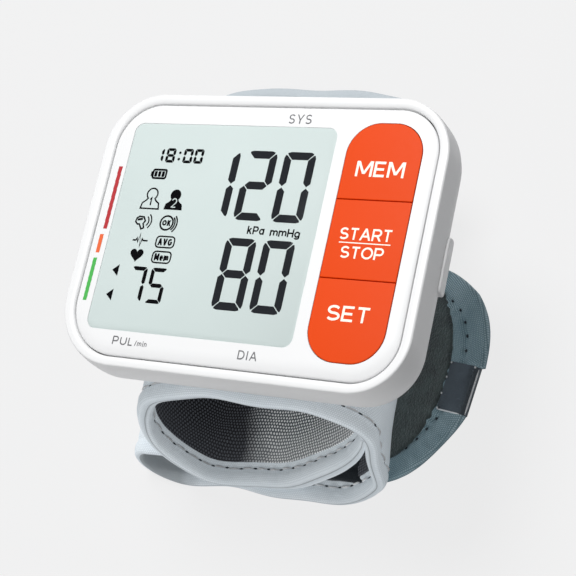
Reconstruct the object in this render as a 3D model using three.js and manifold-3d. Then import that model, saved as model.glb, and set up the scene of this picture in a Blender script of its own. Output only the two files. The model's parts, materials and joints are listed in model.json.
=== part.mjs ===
// Wrist blood pressure monitor: a white housing with a display and three orange keys,
// on a soft cuff whose strap spirals round the wrist and ends in a metal stop clip.
// Millimetres, +Z up. The pieces are placed from the middle of the display face,
// X to the right of the reader, Y away from the reader, Z out of the face.
// The whole is then set down with its lowest point at Z zero.

import * as THREE from 'three';
import { mergeVertices } from 'three/addons/utils/BufferGeometryUtils.js';
import Module from 'manifold-3d';

const wasm = await Module();
wasm.setup();

// Clearances and cuts
const fitGap = 0.3;
const pinClearance = 0.12;
const cutOverrun = 2;
const weldDistance = 1e-4;

// Dry cells, whose length sets how deep the face is
const cellRadius = 5.15;
const cellLength = 44.5;
const cellPitch = 10.6;
const cellY = -0.5;
const cellNubRadius = 1.9;
const cellNubLength = 0.8;
const cellEndRoom = 6.95;

// Face panel and rim
const panelWidth = 78;
const panelDepth = cellLength + 2 * cellEndRoom;
const panelCornerRadius = 10;
const panelThickness = 2;
const rimWidth = 3.2;
const rimRound = 2.4;
const rimInnerEase = 0.25;
const wallThickness = 1.6;
const ledgeWidth = 2.2;
const ledgeThickness = 1.4;

// Display
const keyColumnWidth = 16.95;
const windowEdgeLeft = 4;
const windowEdgeFar = 5.25;
const windowToKeys = 3.005;
const keysEdgeRight = 3.445;
const windowWidth = panelWidth - windowEdgeLeft - windowToKeys - keyColumnWidth - keysEdgeRight;
const windowDepth = panelDepth - 2 * windowEdgeFar;
const windowX = windowEdgeLeft + windowWidth / 2 - panelWidth / 2;
const windowY = 0.45;
const windowCornerRadius = 2.2;
const windowThickness = 1;
const windowSunk = 0.15;
const glassMargin = 1.1;
const glassThickness = 1.7;
const frameWall = 1.2;
const zebraWidth = 2;
const zebraLengthShare = 0.8;

// Keys
const keysEdgeFar = 3.65;
const keyColumnDepth = panelDepth - 2 * keysEdgeFar;
const keyColumnX = panelWidth / 2 - keysEdgeRight - keyColumnWidth / 2;
const keyColumnY = 0.15;
const keyEndRadius = 8;
const middleKeyDepth = 17.01;
const middleKeyY = 0.365;
const keyJointUpper = middleKeyY + middleKeyDepth / 2;
const keyJointLower = middleKeyY - middleKeyDepth / 2;
const keyProud = 0.1;
const keyHeight = 2.6;
const keyFlange = 1;
const keyFlangeThickness = 0.8;
const domeRadius = 4;
const domeHeight = 0.5;
const matThickness = 0.3;

// Circuit board and what is soldered to it
const boardEdgeSide = 1.5;
const boardEdgeFar = 1.7;
const boardWidth = panelWidth - 2 * boardEdgeSide;
const boardDepth = panelDepth - 2 * boardEdgeFar;
const boardCornerRadius = 13;
const boardThickness = 1;
const boardFaceDepth = 4.6;
const chipSide = 9;
const chipFromFar = 3.7;
const chipHeight = 1.1;
const sensorSide = 7;
const sensorHeight = 2.8;
const sensorPortLength = 1.6;
const buzzerRadius = 4.4;
const buzzerHeight = 3;

// Box, springs and door of the cells
const cellsFromSide = 15.1;
const cellPairX = panelWidth / 2 - cellsFromSide;
const boxWall = 0.8;
const boxRoof = 0.6;
const underBoard = boardFaceDepth + boardThickness + fitGap;
const cellDepth = underBoard + boxRoof + fitGap / 2 + cellRadius;
const springTurns = 3;
const springRadius = 2.6;
const springWire = 0.35;
const springLength = 2.6;
const contactThickness = 0.4;
const contactSide = 8;
const doorPastCells = 1.25;
const doorHalfLength = cellLength / 2 + doorPastCells;
const hingeFromCells = 4.9;
const doorHingeX = cellPairX - hingeFromCells;
const doorPinRadius = 0.5;
const doorPinSeat = 1.4;
const tabLength = 13.4;
const tabY = -2.3;
const tabTop = 5;
const tabStands = 1.1;
const tabRound = 1.2;

// Heights of the housing, measured down from the face: its floor lies under the cells
const floorThickness = 2;
const cellFloorRoom = 0.65;
const housingDepth = cellDepth + cellRadius + cellFloorRoom + floorThickness;
const rearCoverHeight = 7.1;
const partingDepth = housingDepth - rearCoverHeight;
const sideWallDepth = 7.2;
const backEdgeReach = 9.4;
const backCornerEase = 1.6;

// Pump, motor, valve and air path
const motorRadius = 5.2;
const motorLength = 14;
const pumpFromSide = 16.7;
const pumpX = pumpFromSide - panelWidth / 2;
const pumpY = 5;
const pumpHeadWidth = 10.6;
const pumpHeadLength = 9;
const pumpHeadHeight = 9.5;
const valveWidth = 9;
const valveLength = 11;
const valveHeight = 9;
const valveY = 14.8;
const hoseWall = 0.75;
const hoseFromPump = 11.9;
const hoseX = pumpX + hoseFromPump;
const portRadius = 1;
const portLength = 2.4;
const nozzleX = hoseX;
const nozzleY = 8;
const nozzleRadius = 2.2;
const nozzleBore = 0.6;
const nozzleReach = 0.7;
const nozzleCollar = 3.4;
const nozzleCollarHeight = 0.9;

// Case screws
const screwFromSide = 8;
const screwFromFar = 8.2;
const screwToHinge = 11.5;
const screwX = panelWidth / 2 - screwFromSide;
const screwY = panelDepth / 2 - screwFromFar;
const innerScrewX = doorHingeX - screwToHinge;
const buzzerFromScrew = 7.5;
const buzzerX = innerScrewX - buzzerFromScrew;
const screwHeadRadius = 1.7;
const screwHeadHeight = 1.1;
const screwShankRadius = 0.9;
const screwLength = 7;
const screwHeadDepth = 14.4;
const bossRadius = 1.9;
const bossRib = 1.2;
const wellRadius = 2.6;

// Cuff plate that clamps the cuff under the housing
const plateFromSide = 12;
const plateToHinge = 2;
const plateFromFar = 12.2;
const plateWidth = panelWidth / 2 - plateFromSide + doorHingeX - plateToHinge;
const plateX = doorHingeX - plateToHinge - plateWidth / 2;
const plateDepth = panelDepth - 2 * plateFromFar;
const plateCornerRadius = 5;
const plateThickness = 1;
const plateRecess = 1;
const plateY = 1;

// Cuff sleeve, bladder and lining
const cuffPastFace = 1.8;
const cuffPastFaceFar = 14.3;
const cuffWidth = panelDepth + cuffPastFace + cuffPastFaceFar;
const cuffFront = -panelDepth / 2 - cuffPastFace;
const cuffSkewShare = 0.4815;
const sleeveThickness = 4.6;
const sleevePinch = 1.6;
const sleeveReach = 37.2;
const sleeveTuckedShare = 0.519;
const sleeveDrop = 27.6;
const sleeveSeat = 0.5;
const sleeveTop = housingDepth + sleeveSeat + sleeveThickness / 2;
const bladderThickness = 0.9;
const bladderMargin = 9;
const liningThickness = 0.6;
const liningMargin = 4.2;

// Outer strap: column, bottom and hairpin
const strapThickness = 2.7;
const strapSkewDrop = 2.8;
const strapSkewStart = sleeveTop + strapSkewDrop;
const strapUnderSleeve = 7;
const strapFloorDepth = sleeveTop + sleeveDrop + strapUnderSleeve;
const columnClear = 4.893;
const columnBulge = sleeveTuckedShare * sleeveReach + columnClear;
const columnDrawnIn = 3.2;
const columnMiddleX = columnBulge - columnDrawnIn;
const columnMiddleRise = 13;
const columnMiddleDepth = strapFloorDepth - columnMiddleRise;
const floorBendRun = 17;
const floorBendX = columnMiddleX - floorBendRun;
const hairpinPastSleeve = 5.8;
const hairpinX = -sleeveReach - hairpinPastSleeve;
const hairpinRadius = 3.2;
const hairpinTail = 4;
const threadedThickness = 1.5;
const threadedDipRun = 23;
const threadedDipX = hairpinX + threadedDipRun;
const threadedRiseRun = 1;
const threadedRiseX = floorBendX + threadedRiseRun;
const threadedDrift = 18.45;
const threadedY = cuffFront + cuffWidth / 2 - threadedDrift;

// Strap end with its fleece and stop clip
const tailRiseShare = 0.28;
const tailPlaneInset = 7;
const tailPlaneX = columnMiddleX - tailPlaneInset;
const tailPlaneRise = 5;
const tailPlaneDepth = strapFloorDepth - tailPlaneRise;
const slitEdge = 8.55;
const tailRadius = cuffWidth / 2 - slitEdge;
const tailRoundInset = 9.1;
const tailRoundX = columnMiddleX - tailRoundInset;
const tailHingeInset = 1.4;
const tailHingeX = columnMiddleX - tailHingeInset;
const tailRootGap = 0.5;
const tailTipCut = 2.5;
const tailTipReach = tailRadius - tailTipCut;
const fleeceThickness = 0.5;
const fleeceHemSide = 4.3;
const fleeceHemTip = 9.7;
const fleeceHalfWidth = tailRadius - fleeceHemSide;
const fleeceReach = tailRadius - fleeceHemTip;
const clipTurnDegrees = -10;
const clipWidth = 11.1;
const clipLength = 8.2;
const clipSheet = 0.5;

// Finishes
const finish = {
  white: { color: 0xf7f7f6, roughness: 0.35, metalness: 0 },
  orange: { color: 0xf15526, roughness: 0.4, metalness: 0 },
  lens: { color: 0xdfe9e6, roughness: 0.1, metalness: 0 },
  display: { color: 0xcdd8d4, roughness: 0.3, metalness: 0 },
  rubber: { color: 0x3b3d40, roughness: 0.8, metalness: 0 },
  silicone: { color: 0xd8d8d4, roughness: 0.6, metalness: 0 },
  board: { color: 0x1f6b43, roughness: 0.5, metalness: 0 },
  black: { color: 0x1f2022, roughness: 0.5, metalness: 0 },
  steel: { color: 0xb9bcc0, roughness: 0.3, metalness: 1 },
  cell: { color: 0x3f6fa8, roughness: 0.4, metalness: 0.4 },
  cuff: { color: 0xb7c4cc, roughness: 0.9, metalness: 0 },
  lining: { color: 0x8f989c, roughness: 0.95, metalness: 0 },
  strap: { color: 0x6d838c, roughness: 0.9, metalness: 0 },
  fleece: { color: 0x343c3b, roughness: 1, metalness: 0 },
  clip: { color: 0x2d333b, roughness: 0.25, metalness: 1 },
};

const model = new THREE.Group();

function addPiece(name, geometry, look) {
  const mesh = new THREE.Mesh(geometry, new THREE.MeshStandardMaterial(finish[look]));
  mesh.name = name;
  model.add(mesh);
}

// Solids: between three.js geometries and closed bodies that can be joined and cut
function solidOf(geometry) {
  const bare = geometry.clone();
  bare.deleteAttribute('normal');
  bare.deleteAttribute('uv');
  const merged = mergeVertices(bare, weldDistance);
  const vertProperties = merged.attributes.position.array;
  const triVerts = Uint32Array.from(merged.index.array);
  return new wasm.Manifold(new wasm.Mesh({ numProp: 3, vertProperties, triVerts }));
}

function geometryOf(solid) {
  const mesh = solid.getMesh();
  const geometry = new THREE.BufferGeometry();
  geometry.setAttribute('position', new THREE.BufferAttribute(Float32Array.from(mesh.vertProperties), 3));
  geometry.setIndex(new THREE.BufferAttribute(Uint32Array.from(mesh.triVerts), 1));
  return geometry;
}

function joined(solids) {
  return solids.reduce((sum, solid) => sum.add(solid));
}

function cutBy(solid, tools) {
  return tools.reduce((rest, tool) => rest.subtract(tool), solid);
}

function boxSolid(low, high) {
  const size = high.map((value, i) => value - low[i]);
  const box = new THREE.BoxGeometry(...size);
  box.translate(...low.map((value, i) => value + size[i] / 2));
  return solidOf(box);
}

// A cylinder from one point along X, Y or Z
function rodSolid(from, axis, length, radius, sides = 20) {
  const rod = new THREE.CylinderGeometry(radius, radius, length, sides);
  const along = new THREE.Vector3(...axis);
  rod.applyQuaternion(new THREE.Quaternion().setFromUnitVectors(new THREE.Vector3(0, 1, 0), along));
  const middle = new THREE.Vector3(...from).addScaledVector(along, length / 2);
  rod.translate(middle.x, middle.y, middle.z);
  return solidOf(rod);
}

const cornerSteps = 6;

function roundedShape(width, depth, radius, x = 0, y = 0) {
  const points = roundedLoop(width / 2, depth / 2, radius, cornerSteps);
  return new THREE.Shape(points.map((point) => point.add(new THREE.Vector2(x, y))));
}

function roundedLoop(halfWidth, halfDepth, radius, steps) {
  const loop = [];
  const corners = [[1, 1], [-1, 1], [-1, -1], [1, -1]];
  corners.forEach(([sideX, sideY], quarter) => {
    for (let step = 0; step <= steps; step++) {
      const angle = (quarter + step / steps) * Math.PI / 2;
      const x = sideX * (halfWidth - radius) + radius * Math.cos(angle);
      const y = sideY * (halfDepth - radius) + radius * Math.sin(angle);
      loop.push(new THREE.Vector2(x, y));
    }
  });
  return loop;
}

// A flat plate of a rounded outline, between two depths under the face
function plateSolid(shape, topDepth, bottomDepth) {
  const depth = bottomDepth - topDepth;
  const plate = new THREE.ExtrudeGeometry(shape, { depth, bevelEnabled: false });
  plate.translate(0, 0, -bottomDepth);
  return solidOf(plate);
}

// Joins rings of equal point counts into a closed body. With wrap, the last ring meets the first,
// and otherwise both end rings are closed by a fan from their middle.
function loftSolid(rings, wrap) {
  const count = rings[0].length;
  const points = rings.flat();
  const faces = [];
  const spans = wrap ? rings.length : rings.length - 1;
  for (let i = 0; i < spans; i++) {
    const next = (i + 1) % rings.length;
    for (let j = 0; j < count; j++) {
      const k = (j + 1) % count;
      const [a, b, c, d] = [i * count + j, i * count + k, next * count + k, next * count + j];
      faces.push(a, b, c, a, c, d);
    }
  }
  if (!wrap) {
    for (const [ring, flip] of [[0, true], [rings.length - 1, false]]) {
      const middle = new THREE.Vector3();
      rings[ring].forEach((point) => middle.addScaledVector(point, 1 / count));
      points.push(middle);
      for (let j = 0; j < count; j++) {
        const pair = [ring * count + j, ring * count + (j + 1) % count];
        if (flip) pair.reverse();
        faces.push(points.length - 1, ...pair);
      }
    }
  }
  const geometry = new THREE.BufferGeometry().setFromPoints(points);
  geometry.setIndex(faces);
  const solid = solidOf(geometry);
  if (solid.volume() > 0) return solid;
  const turned = [];
  for (let i = 0; i < faces.length; i += 3) turned.push(faces[i], faces[i + 2], faces[i + 1]);
  geometry.setIndex(turned);
  return solidOf(geometry);
}

// Housing: rings at an inset from the widest outline, at a depth under the face
const housingWidth = panelWidth + 2 * rimWidth;
const housingLength = panelDepth + 2 * rimWidth;
const housingCornerRadius = panelCornerRadius + rimWidth;
const floorDepth = housingDepth - floorThickness;

function housingRing(inset, depth, ease = 0) {
  const radius = housingCornerRadius - inset + ease;
  return roundedLoop(housingWidth / 2 - inset, housingLength / 2 - inset, radius, cornerSteps)
    .map((point) => new THREE.Vector3(point.x, point.y, -depth));
}

// The body inside a wall. Its back edge slants from the side wall to the floor: each pair holds
// shares of the reach inwards and of the depth below the side wall. The corners ease with depth.
const backEdgeShares = [[0, 0], [0.03, 0.06], [0.1, 0.16], [0.3, 0.42], [0.6, 0.76], [0.78, 0.92], [1, 1]];

function bodyWithin(inset, topRings, bottomDepth) {
  const rings = topRings.map(([reach, depth]) => {
    const eased = Math.max(depth - rimRound, 0) / (sideWallDepth - rimRound) * backCornerEase;
    return housingRing(inset + reach, depth, eased);
  });
  for (const [reach, drop] of backEdgeShares) {
    const depth = sideWallDepth + (bottomDepth - sideWallDepth) * drop;
    rings.push(housingRing(inset + reach * backEdgeReach, depth, backCornerEase));
  }
  return loftSolid(rings, false);
}

const rimSteps = 6;
const rimRings = Array.from({ length: rimSteps }, (_, step) => {
  const angle = step / rimSteps * Math.PI / 2;
  return [rimRound * (1 - Math.sin(angle)), rimRound * (1 - Math.cos(angle))];
});
rimRings.push([0, rimRound]);

const ledgeTop = panelThickness + fitGap;
const ledgeBottom = ledgeTop + ledgeThickness;
const outerBody = bodyWithin(0, rimRings, housingDepth);
const innerBody = bodyWithin(wallThickness, [[0, ledgeBottom]], floorDepth);
const clearRoom = bodyWithin(wallThickness + fitGap, [[0, 0]], floorDepth - fitGap);
const everywhere = housingWidth;
const belowParting = boxSolid(
  [-everywhere, -everywhere, -everywhere],
  [everywhere, everywhere, -partingDepth - fitGap],
);
const aboveParting = boxSolid([-everywhere, -everywhere, -partingDepth], [everywhere, everywhere, everywhere]);

const screwPlaces = [
  [-screwX, screwY],
  [-screwX, -screwY],
  [innerScrewX, screwY],
  [innerScrewX, -screwY],
];

// Battery door outline, and the tab that reaches up into the side wall
const doorKnuckle = floorThickness / 2;
const doorHingeDepth = housingDepth - doorKnuckle;
const sideX = housingWidth / 2;

function doorRegion(grow) {
  return boxSolid(
    [doorHingeX - grow, -doorHalfLength - grow, -housingDepth - cutOverrun],
    [sideX + cutOverrun, doorHalfLength + grow, -partingDepth - fitGap + grow],
  );
}

function tabRegion(grow, stands, back) {
  const width = tabLength + 2 * grow;
  const height = partingDepth - tabTop + tabRound + fitGap + 2 * grow;
  const shape = roundedShape(width, height, tabRound, tabY, grow - tabTop - height / 2);
  const tab = new THREE.ExtrudeGeometry(shape, { depth: stands + back, bevelEnabled: false });
  tab.rotateX(Math.PI / 2);
  tab.rotateZ(Math.PI / 2);
  tab.translate(sideX - back, 0, 0);
  return solidOf(tab);
}

function buildFrontCover() {
  const panelRoom = loftSolid([
    housingRing(rimWidth - rimInnerEase, -cutOverrun),
    housingRing(rimWidth - rimInnerEase, 0),
    housingRing(rimWidth, rimInnerEase),
    housingRing(rimWidth, ledgeTop),
  ], false);
  const ledgeRoom = loftSolid([
    housingRing(rimWidth + ledgeWidth, 0),
    housingRing(rimWidth + ledgeWidth, ledgeBottom + cutOverrun),
  ], false);
  const shell = cutBy(outerBody.intersect(aboveParting), [panelRoom, ledgeRoom, innerBody]);
  const bossEnd = screwHeadDepth - wallThickness - fitGap;
  const bosses = screwPlaces.flatMap(([x, y]) => {
    const wallY = Math.sign(y) * (housingLength / 2 - wallThickness / 2);
    const rib = boxSolid(
      [x - bossRib / 2, Math.min(y, wallY), -bossEnd],
      [x + bossRib / 2, Math.max(y, wallY), -underBoard],
    );
    return [rodSolid([x, y, -bossEnd], [0, 0, 1], bossEnd - underBoard, bossRadius), rib];
  });
  const inside = joined(bosses).intersect(outerBody).intersect(aboveParting);
  const bores = screwPlaces.map(([x, y]) => rodSolid(
    [x, y, -bossEnd - cutOverrun], [0, 0, 1], screwLength + cutOverrun, screwShankRadius + fitGap));
  const keyRoom = plateSolid(keyColumnShape(keyFlange + fitGap), ledgeTop, ledgeBottom + cutOverrun);
  const tabRoom = tabRegion(fitGap, cutOverrun, 3 * wallThickness + cutOverrun);
  return cutBy(shell.add(inside), [...bores, keyRoom, tabRoom]);
}

function buildRearCover() {
  const skin = outerBody.subtract(innerBody).intersect(belowParting);
  const wells = screwPlaces.map(([x, y]) => rodSolid(
    [x, y, -housingDepth], [0, 0, 1], housingDepth - screwHeadDepth + wallThickness, wellRadius));
  const sunk = screwPlaces.map(([x, y]) => rodSolid(
    [x, y, -housingDepth - cutOverrun], [0, 0, 1], housingDepth - screwHeadDepth + cutOverrun,
    screwHeadRadius + fitGap));
  const holes = screwPlaces.map(([x, y]) => rodSolid(
    [x, y, -housingDepth], [0, 0, 1], housingDepth, screwShankRadius + fitGap));
  const recess = plateSolid(
    roundedShape(plateWidth + 2 * fitGap, plateDepth + 2 * fitGap, plateCornerRadius, plateX, plateY),
    housingDepth - plateRecess, housingDepth + cutOverrun);
  const nozzleHole = rodSolid(
    [nozzleX, nozzleY, -housingDepth - cutOverrun], [0, 0, 1], floorThickness + 2 * cutOverrun,
    nozzleRadius + fitGap);
  const knuckleRoom = rodSolid(
    [doorHingeX, -doorHalfLength - fitGap, -doorHingeDepth], [0, 1, 0], 2 * (doorHalfLength + fitGap),
    doorKnuckle + fitGap);
  const pinLength = 2 * (doorHalfLength + fitGap + doorPinSeat);
  const pinBore = rodSolid(
    [doorHingeX, -pinLength / 2 - fitGap, -doorHingeDepth], [0, 1, 0], pinLength + 2 * fitGap,
    doorPinRadius + fitGap, 12);
  const body = joined([skin, ...wells]).intersect(outerBody);
  return cutBy(body, [...sunk, ...holes, recess, nozzleHole, doorRegion(fitGap), knuckleRoom, pinBore]);
}

function buildBatteryDoor() {
  const skin = outerBody.subtract(innerBody).intersect(doorRegion(0));
  const knuckle = rodSolid(
    [doorHingeX, -doorHalfLength, -doorHingeDepth], [0, 1, 0], 2 * doorHalfLength, doorKnuckle);
  const bore = rodSolid(
    [doorHingeX, -doorHalfLength - cutOverrun, -doorHingeDepth], [0, 1, 0], 2 * (doorHalfLength + cutOverrun),
    doorPinRadius + pinClearance, 12);
  const proudBody = bodyWithin(-tabStands, rimRings, housingDepth).subtract(innerBody);
  const tab = tabRegion(0, tabStands, 2 * wallThickness + tabStands).intersect(proudBody);
  return joined([skin, knuckle, tab]).subtract(bore);
}

function buildHousing() {
  addPiece('front_cover', geometryOf(buildFrontCover()), 'white');
  addPiece('rear_cover', geometryOf(buildRearCover()), 'white');
  addPiece('battery_door', geometryOf(buildBatteryDoor()), 'white');
  const pinLength = 2 * (doorHalfLength + fitGap + doorPinSeat);
  const pin = rodSolid([doorHingeX, -pinLength / 2, -doorHingeDepth], [0, 1, 0], pinLength, doorPinRadius, 12);
  addPiece('door_pin', geometryOf(pin), 'steel');
  screwPlaces.forEach((place, i) => addPiece('case_screw_' + (i + 1), screwGeometry(...place), 'steel'));
}

// A self-tapping screw with a cross recess, driven from the back
function screwGeometry(x, y) {
  const bottom = -screwHeadDepth - screwHeadHeight;
  const head = rodSolid([x, y, bottom], [0, 0, 1], screwHeadHeight, screwHeadRadius, 16);
  const shank = rodSolid([x, y, bottom + screwHeadHeight / 2], [0, 0, 1], screwLength, screwShankRadius, 10);
  const [arm, half] = [screwHeadRadius / 2, screwHeadRadius / 6];
  const recess = [[arm, half], [half, arm]].map(([halfX, halfY]) => boxSolid(
    [x - halfX, y - halfY, bottom - cutOverrun],
    [x + halfX, y + halfY, bottom + screwHeadHeight / 2],
  ));
  return geometryOf(cutBy(head.add(shank), recess));
}

// Face panel with the display window and the three keys
function keyColumnShape(grow) {
  return roundedShape(
    keyColumnWidth + 2 * grow, keyColumnDepth + 2 * grow, keyEndRadius + grow, keyColumnX, keyColumnY);
}

function windowShape(grow) {
  return roundedShape(
    windowWidth + 2 * grow, windowDepth + 2 * grow, windowCornerRadius + Math.max(grow, 0), windowX, windowY);
}

const keyBodies = [
  ['key_mem', keyJointUpper, keyColumnY + keyColumnDepth / 2 + cutOverrun],
  ['key_start_stop', keyJointLower, keyJointUpper],
  ['key_set', keyColumnY - keyColumnDepth / 2 - cutOverrun, keyJointLower],
];

function buildFace() {
  const outline = roundedShape(panelWidth - 2 * fitGap, panelDepth - 2 * fitGap, panelCornerRadius - fitGap);
  const panel = plateSolid(outline, 0, panelThickness);
  const openings = [
    plateSolid(windowShape(fitGap), -cutOverrun, panelThickness + cutOverrun),
    plateSolid(keyColumnShape(fitGap), -cutOverrun, panelThickness + cutOverrun),
  ];
  addPiece('face_panel', geometryOf(cutBy(panel, openings)), 'white');
  const window = plateSolid(windowShape(0), windowSunk, windowSunk + windowThickness);
  addPiece('display_window', geometryOf(window), 'lens');
  const flangeTop = panelThickness + fitGap;
  for (const [name, low, high] of keyBodies) {
    const cap = plateSolid(keyColumnShape(0), -keyProud, flangeTop + keyFlangeThickness);
    const flange = plateSolid(keyColumnShape(keyFlange), flangeTop, flangeTop + keyFlangeThickness);
    const span = boxSolid(
      [0, low + fitGap / 2, -keyHeight - cutOverrun],
      [everywhere, high - fitGap / 2, cutOverrun],
    );
    addPiece(name, geometryOf(cap.add(flange).intersect(span)), 'orange');
  }
}

function buildDisplay() {
  const glassTop = windowSunk + windowThickness + fitGap;
  const glassBottom = glassTop + glassThickness;
  addPiece('display_glass', geometryOf(plateSolid(windowShape(-fitGap), glassTop, glassBottom)), 'display');
  const frameTop = panelThickness + fitGap;
  const frameBottom = boardFaceDepth - fitGap;
  const ledgeInset = rimWidth + ledgeWidth + fitGap;
  const withinLedge = loftSolid([frameTop, frameBottom].map((depth) => housingRing(ledgeInset, depth)), false);
  const block = plateSolid(windowShape(frameWall + fitGap), frameTop, frameBottom).intersect(withinLedge);
  const frame = cutBy(block, [
    plateSolid(windowShape(0), frameTop - cutOverrun, glassBottom + fitGap),
    plateSolid(windowShape(-glassMargin - zebraWidth), frameTop - cutOverrun, frameBottom + cutOverrun),
    ...zebraStrips(fitGap),
  ]);
  addPiece('display_frame', geometryOf(frame), 'black');
  zebraStrips(0).forEach((strip, i) => addPiece('display_connector_' + (i + 1), geometryOf(strip), 'rubber'));
}

// Two conducting rubber strips between the display glass and the board
function zebraStrips(grow) {
  const top = windowSunk + windowThickness + fitGap + glassThickness + fitGap;
  const bottom = boardFaceDepth - fitGap / 2;
  const halfLength = windowWidth * zebraLengthShare / 2 + grow;
  return [1, -1].map((side) => {
    const y = windowY + side * (windowDepth / 2 - fitGap - zebraWidth);
    return boxSolid(
      [windowX - halfLength, y - zebraWidth / 2 - grow, -bottom - grow],
      [windowX + halfLength, y + zebraWidth / 2 + grow, -top + grow],
    );
  });
}

function buildBoard() {
  const board = plateSolid(
    roundedShape(boardWidth, boardDepth, boardCornerRadius), boardFaceDepth, boardFaceDepth + boardThickness);
  addPiece('main_board', geometryOf(board), 'board');
  const chipFar = boardDepth / 2 - chipFromFar;
  const chip = boxSolid(
    [buzzerX - chipSide, chipFar - chipSide, -underBoard - chipHeight],
    [buzzerX, chipFar, -underBoard],
  );
  addPiece('controller_chip', geometryOf(chip), 'black');
  const sensor = boxSolid(
    [hoseX - sensorSide / 2, pumpY - sensorSide - pumpHeadLength, -underBoard - sensorHeight],
    [hoseX + sensorSide / 2, pumpY - pumpHeadLength, -underBoard],
  );
  const portY = pumpY - pumpHeadLength - sensorSide / 2;
  const port = rodSolid(
    [hoseX, portY, -underBoard - sensorHeight - sensorPortLength], [0, 0, 1], sensorPortLength + sensorHeight / 2,
    portRadius, 12);
  addPiece('pressure_sensor', geometryOf(sensor.add(port)), 'black');
  const buzzer = rodSolid([buzzerX, pumpY, -underBoard - buzzerHeight], [0, 0, 1], buzzerHeight, buzzerRadius);
  const mouth = rodSolid(
    [buzzerX, pumpY, -underBoard - buzzerHeight - cutOverrun], [0, 0, 1], cutOverrun + buzzerHeight / 3,
    buzzerRadius / 4, 12);
  addPiece('buzzer', geometryOf(buzzer.subtract(mouth)), 'black');
  buildKeyMat();
}

// The rubber mat under the keys, with one dome for each
function buildKeyMat() {
  const bottom = boardFaceDepth - fitGap / 2;
  const sheet = plateSolid(keyColumnShape(keyFlange / 2), bottom - matThickness, bottom);
  const domes = [
    [keyJointUpper + keyColumnY + keyColumnDepth / 2],
    [keyJointUpper + keyJointLower],
    [keyJointLower + keyColumnY - keyColumnDepth / 2],
  ].map(([twiceY]) => {
    const dome = new THREE.CylinderGeometry(domeRadius / 2, domeRadius, domeHeight, 16);
    dome.rotateX(Math.PI / 2);
    dome.translate(keyColumnX, twiceY / 2, -(bottom - matThickness) + domeHeight / 2 - domeHeight / 4);
    return solidOf(dome);
  });
  addPiece('key_mat', geometryOf(joined([sheet, ...domes])), 'silicone');
}

// Cells along Y, side by side, with a spring and a plate at each end
const cellXs = [cellPairX - cellPitch / 2, cellPairX + cellPitch / 2];
const cellEnds = [cellY - cellLength / 2, cellY + cellLength / 2];

function buildCells() {
  cellXs.forEach((x, i) => {
    const nubSide = i === 0 ? 1 : -1;
    const can = rodSolid([x, cellEnds[0], -cellDepth], [0, 1, 0], cellLength - cellNubLength, cellRadius, 28);
    const nub = rodSolid([x, cellEnds[0], -cellDepth], [0, 1, 0], cellLength, cellNubRadius, 16);
    const cell = geometryOf(can.add(nub));
    if (nubSide < 0) {
      cell.translate(-x, -cellY, 0);
      cell.rotateZ(Math.PI);
      cell.translate(x, cellY, 0);
    }
    addPiece('battery_' + (i + 1), cell, 'cell');
  });
  buildContacts();
  buildBatteryBox();
}

// A spring wire wound from a contact plate to the flat end of a cell
function springGeometry(x, plateY, side) {
  const steps = springTurns * 10;
  const points = [];
  for (let i = 0; i <= steps; i++) {
    const angle = i / steps * springTurns * Math.PI * 2;
    const radius = springRadius * (1 - i / steps / 3);
    const y = plateY - side * (springWire + fitGap / 2 + i / steps * (springLength - 2 * springWire - fitGap));
    points.push(new THREE.Vector3(x + radius * Math.cos(angle), y, -cellDepth + radius * Math.sin(angle)));
  }
  const wire = new THREE.Shape();
  for (let corner = 0; corner < 5; corner++) {
    const angle = corner / 5 * Math.PI * 2;
    const place = [springWire * Math.cos(angle), springWire * Math.sin(angle)];
    if (corner === 0) wire.moveTo(...place);
    else wire.lineTo(...place);
  }
  wire.closePath();
  const extrudePath = new THREE.CatmullRomCurve3(points);
  return new THREE.ExtrudeGeometry(wire, { steps, extrudePath, bevelEnabled: false });
}

// The first cell's flat end is at the front, and a bridge joins both cells at the back
function buildContacts() {
  const half = contactSide / 2;
  cellXs.forEach((x, i) => {
    const spring = i === 0;
    const face = cellEnds[0] - (spring ? springLength : 0) - fitGap;
    const plate = boxSolid(
      [x - half, face - contactThickness, -cellDepth - half],
      [x + half, face, -cellDepth + half],
    );
    addPiece('battery_plate_' + (i + 1), geometryOf(plate.intersect(clearRoom)), 'steel');
    if (spring) addPiece('battery_spring_1', springGeometry(x, face, -1), 'steel');
  });
  const bridgeFace = cellEnds[1] + springLength + fitGap;
  const reach = [fitGap, springLength + fitGap].map((room, i) => boxSolid(
    [cellXs[i] - half, cellEnds[1] + room, -cellDepth - half],
    [cellXs[i] + half, bridgeFace + contactThickness, -cellDepth + half],
  ));
  const strap = boxSolid(
    [cellXs[0] - half, bridgeFace, -cellDepth - half],
    [cellXs[1] + half, bridgeFace + contactThickness, -cellDepth + half],
  );
  addPiece('battery_bridge', geometryOf(joined([...reach, strap]).intersect(clearRoom)), 'steel');
  addPiece('battery_spring_2', springGeometry(cellXs[1], bridgeFace, 1), 'steel');
}

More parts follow.
